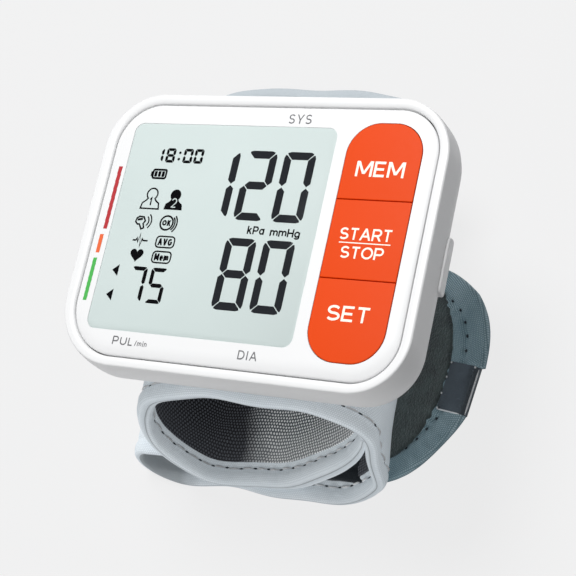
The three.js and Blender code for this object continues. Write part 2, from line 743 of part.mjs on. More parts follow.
// An open-bottomed box that holds the cells against the door
function buildBatteryBox() {
  const left = cellXs[0] - cellRadius - fitGap;
  const right = cellXs[1] + cellRadius + fitGap;
  const farEnd = cellLength / 2 + springLength + contactThickness + 2 * fitGap;
  const room = boxSolid(
    [left, cellY - farEnd, -housingDepth - cutOverrun],
    [right + cutOverrun, cellY + farEnd, -underBoard - boxRoof],
  );
  const hull = boxSolid(
    [left - boxWall, cellY - farEnd - boxWall, -floorDepth + fitGap],
    [right, cellY + farEnd + boxWall, -underBoard],
  );
  const knuckleRoom = boxSolid(
    [left, -doorHalfLength - fitGap, -housingDepth],
    [right + cutOverrun, doorHalfLength + fitGap, -doorHingeDepth + doorKnuckle + fitGap],
  );
  const wells = screwPlaces.map(([x, y]) => rodSolid(
    [x, y, -housingDepth], [0, 0, 1], housingDepth, wellRadius + fitGap));
  addPiece('battery_box', geometryOf(cutBy(hull.intersect(clearRoom), [room, knuckleRoom, ...wells])), 'white');
}

// Pump with its motor, exhaust valve, hose and the nozzle that feeds the cuff
const pumpDepth = floorDepth - fitGap - motorRadius;

function buildAirParts() {
  const motorFront = pumpY - pumpHeadLength - fitGap;
  const motor = rodSolid([pumpX, motorFront - motorLength, -pumpDepth], [0, 1, 0], motorLength, motorRadius, 28);
  const bearing = rodSolid(
    [pumpX, motorFront - motorLength - cutOverrun / 2, -pumpDepth], [0, 1, 0], cutOverrun, motorRadius / 3, 16);
  addPiece('pump_motor', geometryOf(motor.add(bearing)), 'steel');
  const headBottom = floorDepth - fitGap;
  const head = boxSolid(
    [pumpX - pumpHeadWidth / 2, pumpY - pumpHeadLength, -headBottom],
    [pumpX + pumpHeadWidth / 2, pumpY, -headBottom + pumpHeadHeight],
  );
  const headPort = rodSolid(
    [pumpX, pumpY - pumpHeadLength / 2, -pumpDepth], [1, 0, 0], pumpHeadWidth / 2 + portLength, portRadius, 12);
  addPiece('air_pump', geometryOf(head.add(headPort)), 'black');
  const valve = boxSolid(
    [pumpX - valveWidth / 2, valveY - valveLength / 2, -headBottom],
    [pumpX + valveWidth / 2, valveY + valveLength / 2, -headBottom + valveHeight],
  );
  const valvePort = rodSolid(
    [pumpX, valveY, -pumpDepth], [1, 0, 0], valveWidth / 2 + portLength, portRadius, 12);
  addPiece('exhaust_valve', geometryOf(valve.add(valvePort)), 'steel');
  buildHose();
  buildNozzle();
}

// The nozzle stands on the floor of the housing and reaches down into the cuff
const collarTop = floorDepth - fitGap - nozzleCollarHeight;
const nozzleTop = collarTop - portLength;

function buildNozzle() {
  const low = sleeveTop - sleeveThickness / 2 + nozzleReach;
  const stem = rodSolid([nozzleX, nozzleY, -low], [0, 0, 1], low - collarTop, nozzleRadius);
  const collar = rodSolid([nozzleX, nozzleY, -floorDepth + fitGap], [0, 0, 1], nozzleCollarHeight, nozzleCollar);
  const tip = rodSolid([nozzleX, nozzleY, -low], [0, 0, 1], low - nozzleTop, portRadius, 14);
  const bore = rodSolid([nozzleX, nozzleY, -low - cutOverrun], [0, 0, 1], low + cutOverrun, nozzleBore, 14);
  addPiece('air_nozzle', geometryOf(joined([stem, collar, tip]).subtract(bore)), 'white');
}

function hoseNetwork(radius, overrun) {
  const startX = pumpX + pumpHeadWidth / 2 + fitGap;
  const valveStart = pumpX + valveWidth / 2 + fitGap;
  const pumpPortY = pumpY - pumpHeadLength / 2;
  const sensorY = pumpY - pumpHeadLength - sensorSide / 2;
  const sensorBottom = underBoard + sensorHeight + fitGap;
  const nozzleEnd = collarTop - fitGap;
  return joined([
    rodSolid([hoseX, sensorY - radius, -pumpDepth], [0, 1, 0], valveY - sensorY + 2 * radius, radius, 12),
    rodSolid([startX - overrun, pumpPortY, -pumpDepth], [1, 0, 0], hoseX - startX + overrun, radius, 12),
    rodSolid([valveStart - overrun, valveY, -pumpDepth], [1, 0, 0], hoseX - valveStart + overrun, radius, 12),
    rodSolid([hoseX, sensorY, -pumpDepth], [0, 0, 1], pumpDepth - sensorBottom + overrun, radius, 12),
    rodSolid([nozzleX, nozzleY, -nozzleEnd - overrun], [0, 0, 1], nozzleEnd + overrun - pumpDepth, radius, 12),
  ]);
}

function buildHose() {
  const boreRadius = portRadius + fitGap / 2;
  const bore = hoseNetwork(boreRadius, cutOverrun);
  addPiece('air_hose', geometryOf(hoseNetwork(boreRadius + hoseWall, 0).subtract(bore)), 'silicone');
}

// Cuff plate under the housing
function buildCuffPlate() {
  const top = housingDepth - plateRecess + fitGap;
  const shape = roundedShape(plateWidth, plateDepth, plateCornerRadius, plateX, plateY);
  const plate = plateSolid(shape, top, top + plateThickness);
  const hole = rodSolid(
    [nozzleX, nozzleY, -sleeveTop], [0, 0, 1], sleeveTop, nozzleRadius + fitGap);
  addPiece('cuff_plate', geometryOf(plate.subtract(hole)), 'black');
}

// Straps: a route in the XZ plane, with the strap's width along Y. A station holds a place on
// the route, the side that faces left of its run, and its share of the run.
function stationsAlong(places) {
  const last = places.length - 1;
  return places.map((place, i) => {
    const ahead = places[Math.min(i + 1, last)].clone().sub(places[Math.max(i - 1, 0)]).normalize();
    return { place, side: new THREE.Vector3(-ahead.z, 0, ahead.x), share: i / last };
  });
}

function placeAt(x, depth) {
  return new THREE.Vector3(x, 0, -depth);
}

const strapEdgeSteps = 2;
const strapRoundShare = 0.45;

function strapSolid(stations, { thickness, shift = 0, span }) {
  const rings = stations.map((station) => {
    const full = typeof thickness === 'function' ? thickness(station) : thickness;
    const aside = typeof shift === 'function' ? shift(station) : shift;
    const [low, high] = span(station.place);
    return roundedLoop(full / 2, (high - low) / 2, full * strapRoundShare, strapEdgeSteps).map((point) => (
      station.place.clone().addScaledVector(station.side, aside + point.x).setY((low + high) / 2 + point.y)));
  });
  return loftSolid(rings, false);
}

// The lower the cuff hangs under a depth, the further it has drifted towards the reader
function cuffSpan(margin, skewStart = sleeveTop) {
  return (place) => {
    const front = cuffFront + cuffSkewShare * Math.min(place.z + skewStart, 0);
    return [front + margin, front + cuffWidth - margin];
  };
}

// The sleeve runs from its tucked end at the right, under the wrist and round to the top right,
// in shares of its reach and its drop
const sleeveRouteShares = [
  [sleeveTuckedShare, 0.395], [0.331, 0.659], [0.121, 0.877], [-0.134, 0.989], [-0.403, 0.996],
  [-0.69, 0.915], [-0.89, 0.75], [-0.97, 0.585], [-0.985, 0.42], [-0.925, 0.246], [-0.79, 0.1],
  [-0.56, 0.02], [-0.269, 0], [0.054, 0.007], [0.296, 0.06], [0.49, 0.15],
];
const sleeveSteps = 56;
const endSteps = 3;

function sleevePlace([x, drop]) {
  return placeAt(x * sleeveReach, sleeveTop + drop * sleeveDrop);
}

const sleeveStations = stationsAlong(
  new THREE.CatmullRomCurve3(sleeveRouteShares.map(sleevePlace)).getSpacedPoints(sleeveSteps));

// The sleeve is pressed thin where it bends round at the left
const pinchAtShare = 0.54;
const pinchSpreadShare = 0.12;

function sleeveDepthAt({ share }) {
  const away = (share - pinchAtShare) / pinchSpreadShare;
  return sleeveThickness - sleevePinch * Math.exp(-away * away);
}

function buildCuff() {
  const sleeve = strapSolid(sleeveStations, { thickness: sleeveDepthAt, span: cuffSpan(0) });
  const pocket = strapSolid(sleeveStations.slice(endSteps, -endSteps), {
    thickness: bladderThickness + 2 * fitGap, span: cuffSpan(bladderMargin) });
  const port = rodSolid([nozzleX, nozzleY, -sleeveTop], [0, 0, 1], sleeveThickness, nozzleRadius + fitGap);
  addPiece('cuff_sleeve', geometryOf(cutBy(sleeve, [pocket, port])), 'cuff');
  const bladder = strapSolid(sleeveStations.slice(endSteps + 1, -endSteps - 1), {
    thickness: bladderThickness, span: cuffSpan(bladderMargin + fitGap) });
  addPiece('air_bladder', geometryOf(bladder), 'rubber');
  const lining = strapSolid(sleeveStations.slice(1, -1), {
    thickness: liningThickness,
    shift: (station) => -(sleeveDepthAt(station) / 2 + fitGap / 2 + liningThickness / 2),
    span: cuffSpan(liningMargin),
  });
  addPiece('cuff_lining', geometryOf(lining), 'lining');
}

// The outer strap goes on from the sleeve down the right, along the bottom and back at the left
const floorCentre = strapFloorDepth - strapThickness / 2;
const hairpinTop = floorCentre - 2 * hairpinRadius;
const columnStart = sleevePlace(sleeveRouteShares.at(-1))
  .addScaledVector(sleeveStations.at(-1).side.clone().cross(new THREE.Vector3(0, 1, 0)), -2 * fitGap);

function bezierPlaces(points, steps) {
  return new THREE.CubicBezierCurve3(...points).getSpacedPoints(steps);
}

// Columns of the outer strap's bends, as shares of how far each bend runs
const columnShares = { topPull: 0.25, middlePull: 0.4, lowPull: 0.4, floorPull: 0.53 };

function outerStrapPlaces() {
  const middle = placeAt(columnMiddleX, columnMiddleDepth);
  const lowest = placeAt(floorBendX, floorCentre);
  const fall = columnMiddleDepth + columnStart.z;
  const slant = (columnBulge - columnMiddleX) / (fall * columnShares.middlePull);
  const above = placeAt(columnBulge, columnMiddleDepth - fall * columnShares.middlePull);
  const drop = (floorCentre - columnMiddleDepth) * columnShares.lowPull;
  const below = placeAt(columnMiddleX - slant * drop, columnMiddleDepth + drop);
  const top = placeAt(columnBulge, -columnStart.z + fall * columnShares.topPull);
  const floorPull = placeAt(floorBendX + (columnMiddleX - floorBendX) * columnShares.floorPull, floorCentre);
  const column = bezierPlaces([columnStart, top, above, middle], 12);
  const corner = bezierPlaces([middle, below, floorPull, lowest], 12);
  const run = bezierPlaces([lowest, lowest, placeAt(hairpinX, floorCentre), placeAt(hairpinX, floorCentre)], 8);
  const turn = [];
  const turnSteps = 12;
  for (let step = 1; step <= turnSteps; step++) {
    const angle = step / turnSteps * Math.PI;
    turn.push(placeAt(
      hairpinX - hairpinRadius * Math.sin(angle),
      floorCentre - hairpinRadius + hairpinRadius * Math.cos(angle)));
  }
  return [...column, ...corner.slice(1), ...run.slice(1), ...turn, placeAt(hairpinX + hairpinTail, hairpinTop)];
}

function outerThickness({ place }) {
  const past = Math.max(hairpinX - place.x, place.z + floorCentre > hairpinRadius ? hairpinRadius : 0);
  return strapThickness - (strapThickness - threadedThickness) * Math.min(past / hairpinRadius, 1);
}

// The threaded strap runs on between sleeve and outer strap, rises through the slit in the
// outer strap, and its free end is the tail
const threadedDepth = sleeveTop + sleeveDrop + sleeveThickness / 2 + fitGap + threadedThickness / 2;
const tailAngle = Math.atan(tailRiseShare);
const tailHingeDepth = tailPlaneDepth - tailRiseShare * (tailHingeX - tailPlaneX);

function threadedPlaces() {
  const start = placeAt(hairpinX + hairpinTail + fitGap, hairpinTop);
  const dip = placeAt(threadedDipX, threadedDepth);
  const half = (threadedDipX - hairpinX) / 3;
  const entry = [start, placeAt(start.x + half, hairpinTop), placeAt(threadedDipX - half, threadedDepth), dip];
  const riseStart = placeAt(threadedRiseX, threadedDepth);
  const onPlane = (x) => placeAt(x, tailPlaneDepth - tailRiseShare * (x - tailPlaneX));
  const pull = (tailPlaneX - threadedRiseX) / 3;
  const rise = [
    riseStart, placeAt(threadedRiseX + pull, threadedDepth), onPlane(tailPlaneX - pull), onPlane(tailPlaneX)];
  const end = onPlane(tailHingeX - fitGap / 3);
  return [
    ...bezierPlaces(entry, 10), ...bezierPlaces([dip, dip, riseStart, riseStart], 5).slice(1),
    ...bezierPlaces(rise, 8).slice(1),
    ...bezierPlaces([onPlane(tailPlaneX), onPlane(tailPlaneX), end, end], 4).slice(1),
  ];
}

function tailHalfWidth(x) {
  const out = Math.max(x - tailRoundX, 0) / Math.cos(tailAngle);
  return Math.sqrt(tailRadius ** 2 - out ** 2);
}

function threadedSpan(grow) {
  return ({ x }) => [threadedY - tailHalfWidth(x) - grow, threadedY + tailHalfWidth(x) + grow];
}

function buildOuterStrap() {
  const outer = strapSolid(stationsAlong(outerStrapPlaces()), {
    thickness: outerThickness, span: cuffSpan(0, strapSkewStart) });
  const places = threadedPlaces();
  const slitPlaces = places.filter(({ x }) => x > threadedRiseX);
  const slit = strapSolid(stationsAlong(slitPlaces), {
    thickness: threadedThickness + 2 * fitGap, span: threadedSpan(fitGap) });
  addPiece('cuff_strap', geometryOf(outer.subtract(slit)), 'cuff');
  const threaded = strapSolid(stationsAlong(places), { thickness: threadedThickness, span: threadedSpan(0) });
  addPiece('threaded_strap', geometryOf(threaded), 'strap');
}

// The tail is a flat rounded tongue. Its outline is drawn in its own plane: u runs from the
// hinge line to the tip, v along the hinge line.
function onTail(geometry) {
  geometry.rotateY(-tailAngle);
  geometry.translate(tailHingeX, 0, -tailHingeDepth);
  return geometry;
}

const tailCentreU = (tailRoundX - tailHingeX) / Math.cos(tailAngle);

function tailShape(reachU, reachV) {
  const from = Math.asin(1) - Math.asin((tailRootGap - tailCentreU) / reachU);
  const curve = new THREE.EllipseCurve(tailCentreU, threadedY, reachU, reachV, -from, from);
  return new THREE.Shape(curve.getPoints(40));
}

function tailSheet(shape, bottom, thickness) {
  const sheet = new THREE.ExtrudeGeometry(shape, { depth: thickness, bevelEnabled: false });
  sheet.translate(0, 0, bottom);
  return sheet;
}

// A box on the tail, measured from its round centre along the way the clip faces
function clipBox(fromReach, toReach, halfWidth, low, high) {
  const box = new THREE.BoxGeometry(toReach - fromReach, 2 * halfWidth, high - low);
  box.translate((fromReach + toReach) / 2, 0, (low + high) / 2);
  box.rotateZ(THREE.MathUtils.degToRad(clipTurnDegrees));
  box.translate(tailCentreU, threadedY, 0);
  return solidOf(onTail(box));
}

function buildTail() {
  const half = threadedThickness / 2;
  const blank = solidOf(onTail(tailSheet(tailShape(tailRadius, tailRadius), -half, threadedThickness)));
  const tipCut = clipBox(tailTipReach, tailTipReach + clipLength, clipWidth, -clipLength, clipLength);
  addPiece('strap_tail', geometryOf(blank.subtract(tipCut)), 'strap');
  const inner = tailTipReach + fitGap + clipSheet - clipLength;
  const skin = half + fitGap + clipSheet;
  const outside = clipBox(inner, tailTipReach + fitGap + clipSheet, clipWidth / 2, -skin, skin);
  const mouth = clipBox(inner - cutOverrun, tailTipReach + fitGap, clipWidth, -half - fitGap, half + fitGap);
  addPiece('end_clip', geometryOf(outside.subtract(mouth)), 'clip');
  const fleece = tailSheet(tailShape(fleeceReach, fleeceHalfWidth), half + fitGap / 2, fleeceThickness);
  const clipRoom = clipBox(inner - fitGap, inner + clipLength, clipWidth / 2 + fitGap, -clipLength, clipLength);
  addPiece('tail_fleece', geometryOf(solidOf(onTail(fleece)).subtract(clipRoom)), 'fleece');
}

buildHousing();
buildFace();
buildDisplay();
buildBoard();
buildCells();
buildAirParts();
buildCuffPlate();
buildCuff();
buildOuterStrap();
buildTail();

// Set the part down: its box is centred over the origin and its lowest point is at Z zero
const box = new THREE.Box3().setFromObject(model);
const middle = box.getCenter(new THREE.Vector3());
model.position.set(-middle.x, -middle.y, -box.min.z);

export default model;
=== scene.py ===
"""Wrist blood pressure monitor: the looks of its housing, display, keys, cuff and strap end."""

import json
import math

import bmesh
import bpy
import numpy as np
from mathutils import Matrix, Vector


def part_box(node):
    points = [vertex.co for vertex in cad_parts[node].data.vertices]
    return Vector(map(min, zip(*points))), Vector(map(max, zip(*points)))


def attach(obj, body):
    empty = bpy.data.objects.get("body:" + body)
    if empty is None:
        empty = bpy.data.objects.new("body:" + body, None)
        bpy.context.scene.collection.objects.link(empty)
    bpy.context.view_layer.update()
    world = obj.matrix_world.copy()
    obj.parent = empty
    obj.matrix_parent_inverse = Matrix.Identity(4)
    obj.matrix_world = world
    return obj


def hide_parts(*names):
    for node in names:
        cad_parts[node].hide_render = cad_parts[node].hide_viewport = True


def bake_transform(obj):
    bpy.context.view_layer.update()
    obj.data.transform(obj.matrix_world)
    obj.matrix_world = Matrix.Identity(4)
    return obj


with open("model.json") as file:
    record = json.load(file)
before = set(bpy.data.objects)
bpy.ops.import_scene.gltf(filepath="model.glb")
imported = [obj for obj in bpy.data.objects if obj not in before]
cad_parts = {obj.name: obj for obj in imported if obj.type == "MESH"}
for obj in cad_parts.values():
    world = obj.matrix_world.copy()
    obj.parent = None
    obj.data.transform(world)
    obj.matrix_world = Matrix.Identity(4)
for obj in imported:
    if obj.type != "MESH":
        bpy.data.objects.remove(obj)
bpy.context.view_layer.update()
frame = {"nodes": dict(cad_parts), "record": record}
scene = bpy.context.scene

# Places are in millimetres from the middle of the face panel's top: X to the right of the reader,
# Y away from the reader, Z out of the face.
MM = 0.001
panel_low, panel_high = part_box("face_panel")
FACE = np.array([(panel_low.x + panel_high.x) / 2, (panel_low.y + panel_high.y) / 2, panel_high.z])


def in_frame(points):
    """Places in millimetres from the face as places in metres in the shared frame."""
    return np.asarray(points, float) * MM + FACE


# Meshes

def add_piece(name, points, faces, material, body="housing", uv=None, sharp=35):
    mesh = bpy.data.meshes.new(name)
    mesh.from_pydata([tuple(p) for p in in_frame(points)], [], [tuple(int(i) for i in f) for f in faces])
    if uv is not None:
        corners = np.empty(len(mesh.loops), int)
        mesh.loops.foreach_get("vertex_index", corners)
        layer = mesh.uv_layers.new(name="cloth")
        layer.data.foreach_set("uv", np.asarray(uv, float)[corners].ravel())
    mesh.validate()
    mesh.materials.append(material)
    piece = bpy.data.objects.new(name, mesh)
    scene.collection.objects.link(piece)
    face_outwards(mesh)
    mesh.shade_smooth()
    mesh.set_sharp_from_angle(angle=math.radians(sharp))
    if body:
        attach(piece, body)
    return piece


def face_outwards(mesh):
    work = bmesh.new()
    work.from_mesh(mesh)
    bmesh.ops.recalc_face_normals(work, faces=work.faces)
    work.to_mesh(mesh)
    work.free()


def loft(rings, cap_ends=True):
    """Points and faces of a skin through rings of equal point counts, each ring closed."""
    count = len(rings[0])
    points = np.concatenate(rings)
    faces = []
    for i in range(len(rings) - 1):
        here, there = i * count, (i + 1) * count
        for j in range(count):
            k = (j + 1) % count
            faces.append((here + j, here + k, there + k, there + j))
    if cap_ends:
        faces.append(tuple(range(count))[::-1])
        faces.append(tuple(range((len(rings) - 1) * count, len(rings) * count)))
    return points, faces


def flat_ring(outline, height):
    return np.column_stack([outline, np.full(len(outline), float(height))])


def rounded_outline(left, right, low, high, radii, steps=20):
    """A rectangle with round corners, whose radii go from the far right corner against the clock."""
    corners = [(right, high), (left, high), (left, low), (right, low)]
    signs = [(-1, -1), (1, -1), (1, 1), (-1, 1)]
    points = []
    for quarter, ((x, y), (sx, sy), radius) in enumerate(zip(corners, signs, radii)):
        for step in range(steps + 1):
            angle = (quarter + step / steps) * math.pi / 2
            points.append((
                x + sx * radius + radius * math.cos(angle), y + sy * radius + radius * math.sin(angle)))
    return np.array(points)


def box_outline(left, right, low, high, radius, steps):
    return rounded_outline(left, right, low, high, [radius] * 4, steps)


def inset_outline(outline, distance):
    """The outline moved inwards, for a convex outline that runs against the clock."""
    before = outline - np.roll(outline, 1, axis=0)
    after = np.roll(outline, -1, axis=0) - outline
    normals = []
    for edge in (before, after):
        length = np.maximum(np.linalg.norm(edge, axis=1), 1e-9)[:, None]
        normals.append(np.column_stack([-edge[:, 1], edge[:, 0]]) / length)
    middle = normals[0] + normals[1]
    middle /= np.maximum(np.linalg.norm(middle, axis=1), 1e-9)[:, None]
    spread = np.clip((middle * normals[0]).sum(axis=1), 0.4, 1)[:, None]
    return outline + middle / spread * distance


def plate_rings(outline, steps):
    """Rings of a plate from pairs of an inset and a height."""
    return [
        flat_ring(inset_outline(outline, inset) if inset else outline, height) for inset, height in steps]


def open_work(points, faces):
    """A mesh to work on, made from points and faces, and its corners."""
    work = bmesh.new()
    corners = [work.verts.new(p) for p in points]
    for face in faces:
        work.faces.new([corners[i] for i in face])
    return work, corners


def close_work(work):
    """The points and faces of a mesh whose work is done."""
    work.verts.index_update()
    points = np.array([tuple(v.co) for v in work.verts])
    faces = [[v.index for v in face.verts] for face in work.faces]
    work.free()
    return points, faces


def edges_round(work, corners):
    """The edges of a closed row of corners."""
    return [work.edges.get((corner, corners[(i + 1) % len(corners)])) for i, corner in enumerate(corners)]


# Materials: a wrapped socket does the shader maths

def maths_method(operation, swap=False):
    """A method of a value that adds one Math node."""
    def method(value, *others):
        operands = [value, *others]
        if swap:
            operands.reverse()
        return value.material.node("ShaderNodeMath", {"operation": operation}, dict(enumerate(operands)))
    return method


class Value:
    def __init__(self, material, socket):
        self.material, self.socket = material, socket

    __add__ = __radd__ = maths_method("ADD")
    __mul__ = __rmul__ = maths_method("MULTIPLY")
    __sub__ = maths_method("SUBTRACT")
    __rsub__ = maths_method("SUBTRACT", swap=True)
    __truediv__ = maths_method("DIVIDE")
    __mod__ = maths_method("FLOORED_MODULO")
    __abs__ = maths_method("ABSOLUTE")
    __gt__ = maths_method("GREATER_THAN")
    __lt__ = maths_method("LESS_THAN")
    sine = maths_method("SINE")
    floor = maths_method("FLOOR")
    at_least = maths_method("MAXIMUM")
    at_most = maths_method("MINIMUM")

    def clamped(self):
        return self.at_least(0.0).at_most(1.0)


class Finish:
    """A material under making: its nodes, and the shader that ends it."""

    def __init__(self, name):
        self.material = bpy.data.materials.new(name)
        self.material.use_nodes = True
        self.tree = self.material.node_tree
        self.tree.nodes.clear()

    def fill(self, node, values):
        for key, value in values.items():
            socket = node.inputs[key]
            if isinstance(value, Value):
                self.tree.links.new(value.socket, socket)
            elif isinstance(value, (tuple, list)) and len(value) == 3 and socket.type == "RGBA":
                socket.default_value = (*value, 1)
            else:
                socket.default_value = value

    def node(self, kind, settings=None, values=None, output=0):
        node = self.tree.nodes.new(kind)
        for key, value in (settings or {}).items():
            setattr(node, key, value)
        self.fill(node, values or {})
        return Value(self, node.outputs[output])

    def mixed(self, share, first, second):
        return self.node("ShaderNodeMix", {"data_type": "RGBA"}, {0: share, 6: first, 7: second}, output=2)

    def place(self):
        return self.node("ShaderNodeTexCoord", output=3)

    def split(self, vector):
        outputs = self.node("ShaderNodeSeparateXYZ", values={0: vector}).socket.node.outputs
        return [Value(self, output) for output in outputs]

    def noise(self, scale, detail=2.0, rough=0.5, distortion=0.0, stretch=None):
        place = self.place()
        if stretch:
            place = self.node("ShaderNodeMapping", values={"Vector": place, "Scale": stretch})
        return self.node("ShaderNodeTexNoise", values={
            "Vector": place, "Scale": scale, "Detail": detail, "Roughness": rough, "Distortion": distortion})

    def cells(self, scale):
        return self.node("ShaderNodeTexVoronoi", values={"Scale": scale, "Vector": self.place()})

    def cloth(self):
        return self.split(self.node("ShaderNodeUVMap", {"uv_map": "cloth"}))[:2]

    def bump(self, height, strength, distance):
        values = {"Strength": strength, "Distance": distance * MM, "Height": height}
        return self.node("ShaderNodeBump", values=values)

    def surface(self, **values):
        names = {key.replace("_", " "): value for key, value in values.items()}
        self.output(self.node("ShaderNodeBsdfPrincipled", values=names))
        return self.material

    def output(self, shader):
        self.fill(self.tree.nodes.new("ShaderNodeOutputMaterial"), {0: shader})


def linear(*screen):
    """A colour as seen on a screen, from 0 to 255, as light."""
    return tuple(((c / 255 + 0.055) / 1.055) ** 2.4 if c > 10 else c / 255 / 12.92 for c in screen)


def dimmed(colour, share):
    return tuple(c * share for c in colour)


def moulded(name, colour, rough, grain=0.02, gloss=0.5, tone=0.03):
    """Moulded plastic: a fine cast grain, a faint drift of tone and slightly uneven gloss."""
    look = Finish(name)
    drift = look.noise(40, detail=3)
    shade = look.mixed(drift, dimmed(colour, 1 - tone), colour)
    uneven = look.noise(900, detail=2) * 0.08 + (rough - 0.04)
    relief = look.noise(5200, detail=2) + look.noise(300, detail=1) * 0.6
    return look.surface(
        Base_Color=shade, Roughness=uneven, Normal=look.bump(relief, 0.25, grain), Specular_IOR_Level=gloss)


def plain(name, colour, rough, metal=0.0, tone=0.12, gloss=0.5):
    """One smooth colour with a faint drift and a fine grain: rubber, metal, print."""
    look = Finish(name)
    drift = look.noise(260, detail=4)
    shade = look.mixed(drift, dimmed(colour, 1 - tone), colour)
    return look.surface(
        Base_Color=shade, Roughness=drift * 0.12 + (rough - 0.06), Metallic=metal, Specular_IOR_Level=gloss,
        Normal=look.bump(look.noise(2500, detail=3), 0.4, 0.02))


white_plastic = moulded("white_moulded_plastic", (0.795, 0.797, 0.8), 0.36, gloss=0.35)
key_plastic = moulded("orange_key_plastic", linear(223, 70, 8), 0.5, grain=0.012, tone=0.05, gloss=0.12)
inner_white = moulded("inner_white_plastic", (0.7, 0.7, 0.69), 0.5)
inner_black = plain("inner_black_plastic", (0.02, 0.02, 0.022), 0.5)
dark_rubber = plain("dark_rubber", (0.03, 0.03, 0.032), 0.75)
pale_silicone = plain("pale_silicone", (0.55, 0.55, 0.52), 0.45)
bare_steel = plain("bare_steel", (0.55, 0.56, 0.57), 0.32, metal=1.0)
display_ink = plain("display_ink", linear(4, 4, 7), 0.8, tone=0.04, gloss=0.06)
digit_ink = plain("display_digit_ink", linear(36, 38, 42), 0.8, tone=0.05, gloss=0.06)
word_grey = plain("printed_grey", linear(108, 108, 111), 0.5, tone=0.05, gloss=0.2)
word_white = plain("printed_white", linear(250, 238, 224), 0.5, tone=0.03)
bar_red = plain("printed_red", linear(176, 26, 36), 0.45, tone=0.06)
bar_orange = plain("printed_orange", linear(228, 100, 48), 0.45, tone=0.06)
bar_green = plain("printed_green", linear(72, 176, 78), 0.45, tone=0.06)


def circuit_green():
    look = Finish("circuit_board_green")
    x, y, _ = look.split(look.place())
    tracks = abs((x * 900).sine()) * abs((y * 700 + look.noise(60) * 6).sine())
    copper = (tracks < 0.12) * 0.5
    shade = look.mixed(copper, (0.012, 0.09, 0.04), (0.05, 0.2, 0.09))
    return look.surface(Base_Color=shade, Roughness=0.35, Normal=look.bump(tracks, 0.3, 0.03))


def cell_wrap():
    look = Finish("cell_wrap")
    _, y, _ = look.split(look.place())
    band = (look.noise(20) * 0.004 + y) > 0.018
    shade = look.mixed(band, (0.03, 0.12, 0.33), (0.6, 0.6, 0.58))
    return look.surface(
        Base_Color=shade, Roughness=0.28, Metallic=0.3, Normal=look.bump(look.noise(700), 0.1, 0.02))


def window_clear():
    look = Finish("clear_window")
    smear = look.noise(120, detail=3) * 0.05 + 0.05
    return look.surface(Base_Color=(0.01, 0.012, 0.012), Roughness=smear, Alpha=0.02, Specular_IOR_Level=0.3)


def display_grey():
    """Reflective display cell: pale grey-green with a faint mottle."""
    look = Finish("display_cell")
    cloud = look.noise(55, detail=3)
    fine = look.noise(2600, detail=1)
    shade = look.mixed(cloud, linear(197, 209, 207), linear(205, 216, 214))
    shade = look.mixed(fine * 0.25, shade, linear(213, 223, 221))
    return look.surface(
        Base_Color=shade, Roughness=0.6, Normal=look.bump(fine, 0.08, 0.01), Specular_IOR_Level=0.15)


window_glass = window_clear()
display_face = display_grey()

# Cloth patterns run over the cloth coordinates, in millimetres along and across each strap. On a
# strap's inner side INNER_SIDE is added to the places across.
INNER_SIDE = 200
INNER_FROM = 150
# Where the cloth's painted shade lies: the groove of the inner seam, the tucked end inside the hairpin and
# the part towards the far edge
SEAM_SHADE_ACROSS, SEAM_SHADE_HALF = 3.95, 0.42
TUCKED_SHADE_FROM, TUCKED_SHADE_FADE = 204, 6
REAR_SHADE_FROM, REAR_SHADE_FADE = 48, 16
MESH_PITCH_U, MESH_PITCH_V = 0.8, 0.74
# Lengths along the mesh where its painted shade begins and where its painted crease shade lies
MESH_FOLD_SHADE, MESH_CREASE_SHADE = 43, 47


def ribbed(look, u, v, pitch_u, pitch_v):
    """A woven relief: rows of small raised threads, every second row shifted."""
    row = (v / pitch_v).floor()
    shifted = u / pitch_u + (row % 2.0) * 0.5
    along = abs(((shifted % 1.0) - 0.5) * 2.0)
    across = abs((((v / pitch_v) % 1.0) - 0.5) * 2.0)
    return (1 - along * along) * (1 - across * across)


def cuff_cloth_finish(name, base, light, pitch=0.4, depth=0.08, relief=0.5, back=1.0, glow=0.0,
                      inner=0.0, seam_shade_end=-200.0):
    """Plain woven cloth with soft tone patches, fine soil and shallow wrinkles. Painted shade darkens it
    along the groove of the inner seam, on the inner side, inside the hairpin where it tucks in and towards
    the far edge."""
    look = Finish(name)
    u, v = look.cloth()
    weave = ribbed(look, u, v, pitch * 1.25, pitch)
    soil = look.noise(260, detail=5, rough=0.6)
    fold = ((look.noise(75, detail=4) - 0.5) * 1.8 + 0.5).clamped()
    shade = look.mixed(fold, base, light)
    shade = look.mixed(soil * 0.4, shade, dimmed(base, 0.74))
    shade = look.mixed(weave * relief, dimmed(base, 0.72), shade)
    inside = v > INNER_FROM
    seam = (1 - abs(v % INNER_SIDE - SEAM_SHADE_ACROSS) / SEAM_SHADE_HALF).clamped() * (u < seam_shade_end) * inside
    tucked_shade = ((u - TUCKED_SHADE_FROM) / TUCKED_SHADE_FADE).clamped() * inside
    rear_shade = ((v - REAR_SHADE_FROM) / REAR_SHADE_FADE).clamped() * (v < INNER_FROM)
    # Painted shade: darker in the seam's groove, in the tucked end inside the hairpin, on the inner side and
    # towards the far edge
    for mask, share in ((seam * 0.5, 0.3), (tucked_shade * 0.8, 0.2), (inside * inner, 0.5), (rear_shade, back)):
        shade = look.mixed(mask, shade, dimmed(base, share))
    wrinkle = look.noise(130, detail=3, distortion=1.2)
    height = weave + soil * 0.8 + wrinkle * 12
    # The emission set by glow is painted light: the cloth gives off a faint light of its own colour
    return look.surface(
        Base_Color=shade, Roughness=soil * 0.15 + 0.66, Normal=look.bump(height, 0.7, depth),
        Emission_Color=shade, Emission_Strength=glow, Sheen_Weight=0.12, Sheen_Roughness=0.5,
        Specular_IOR_Level=0.25)


